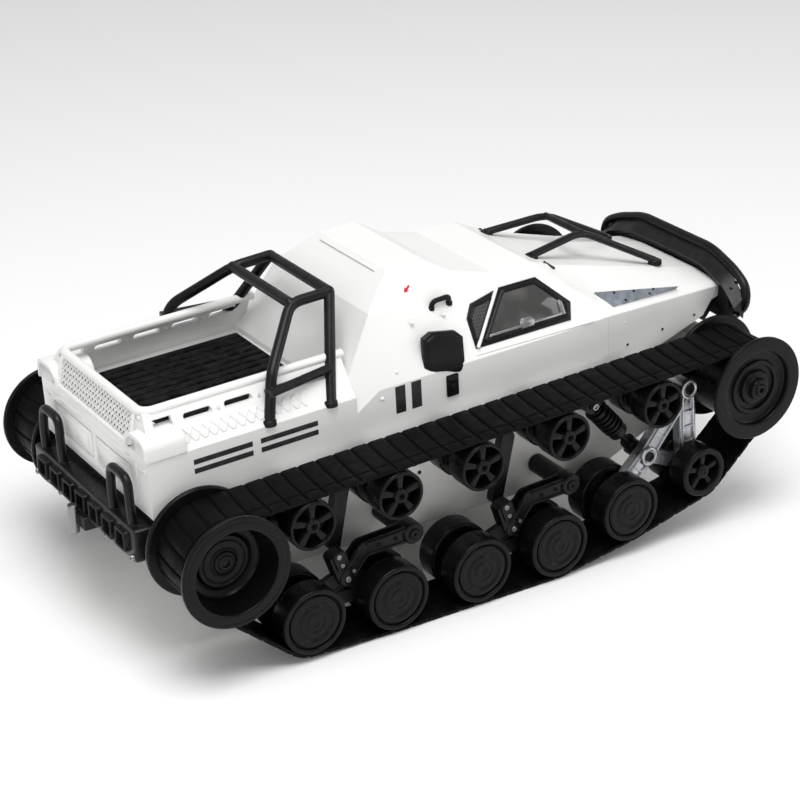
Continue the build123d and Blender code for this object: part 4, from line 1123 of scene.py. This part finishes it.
def damper_details(side_name, side):
    """Spring turns and top screw of the damper."""
    trim = Shape()
    top, eye = pin(f"damper_swing_{side_name}"), pin(f"damper_stroke_{side_name}")
    for level, radius in ((6.0, 7.0), (11.0, 6.8), (14.5, 6.8), (18.0, 6.8), (21.5, 6.8), (25.0, 6.6)):
        coil = [(5.4, level), (radius, level + 0.4), (radius, level + 1.8), (5.4, level + 2.2)]
        trim.turn(top, eye - top, coil, 0.4, 32)
    trim.screw(on_middle(top) + Vector((0, side * 92.6, 0)), (0, side, 0), 2.2, 1.6, 1)
    piece(f"damper_fittings_{side_name}", trim, [SATIN_BLACK, STEEL], f"damper_{side_name}")


def hull_details():
    """Seam between hull and body, access plates and screws on the hull sides."""
    trim = Shape()
    for side in SIDES.values():
        trim.tube(on_side(side, (-188.0, 66.2, 93.4), (178.0, 66.2, 93.4)), 0.7, sides=8)
        for x in (-100.0, -35.0, 15.0, 78.0):
            plate = (Vector((x, side * 66.0, 62.0)), -REARWARD, UP, Vector((0, side, 0)))
            trim.slab(rounded_box(11.0, 8.0, 2.0), plate, -0.5, 0.8, 0.5)
            for a, b in ((-9.0, 5.5), (-9.0, -5.5), (9.0, 5.5), (9.0, -5.5)):
                trim.screw(spot(plate, a, b, 0.7), (0, side, 0), 1.1, 0.7, 1)
    piece("hull_fittings", trim, [GREY, SATIN_BLACK], "hull")


# ------------------ assemble
camera()
studio()

WHITE = white_plastic()
GREY = grey_plastic()
WHEEL_BLACK = black_plastic("wheel_black", (0.0035, 0.0035, 0.004), 0.27, shine=0.15)
SATIN_BLACK = black_plastic("satin_black", (0.004, 0.004, 0.0045), 0.34, shine=0.2)
BAR_BLACK = black_plastic("bar_black", (0.004, 0.004, 0.0045), 0.32)
MARKING = black_plastic("marking_ink", (0.02, 0.02, 0.02), 0.5, rounding=0.0)
RED_INK = black_plastic("red_ink", (0.50, 0.012, 0.03), 0.5, rounding=0.0)
RUBBER = rubber("track_rubber", (0.0028, 0.0028, 0.003))
MAT_RUBBER = rubber("bed_rubber", (0.005, 0.005, 0.005))
ALLOY = bare_metal("cast_alloy", (0.47, 0.48, 0.50), 0.33)
STEEL = bare_metal("turned_steel", (0.30, 0.30, 0.31), 0.32, (1, 12, 1))
BRASS = bare_metal("brass", (0.62, 0.46, 0.22), 0.3)
GLASS = tinted_glass()
SCREEN = mesh_screen()
SCREEN_BACK = black_plastic("panel_holes", (0.38, 0.37, 0.355), 0.6, rounding=0.0)
LIGHT_PANEL = black_plastic("light_panel", (0.16, 0.175, 0.20), 0.25, rounding=0.0)

# looks of the CAD nodes by the start of their names; the others are satin black
LOOKS = {
    "body_shell": WHITE, "chassis_tub": GREY, "battery_door": GREY, "front_rocker": ALLOY,
    "motor_pinion": BRASS, "drive_gear": GREY, "drive_motors": STEEL,
}
for name, node in frame["nodes"].items():
    chosen = next((look for start, look in LOOKS.items() if name.startswith(start)), SATIN_BLACK)
    node.data.materials.clear()
    node.data.materials.append(chosen)

for side_name, side in SIDES.items():
    track(side_name, side)
    sprocket(side_name, side)
    idler(side_name, side)
    for number in range(1, 6):
        road_wheel(side_name, side, number)
        return_roller(side_name, side, number)
    front_wheel(side_name, side)
    window(side_name, side)
    side_fittings(side_name, side)
    hood_fittings(side_name, side)
    for number in (1, 2):
        arm_details(side_name, side, number)
        beam_details(side_name, side, number)
    rocker_details(side_name, side)
    damper_details(side_name, side)
ribbed_mat()
cargo_fittings()
nose()
cage()
hood_bars()
nose_bumper()
tail_bumper()
hull_details()
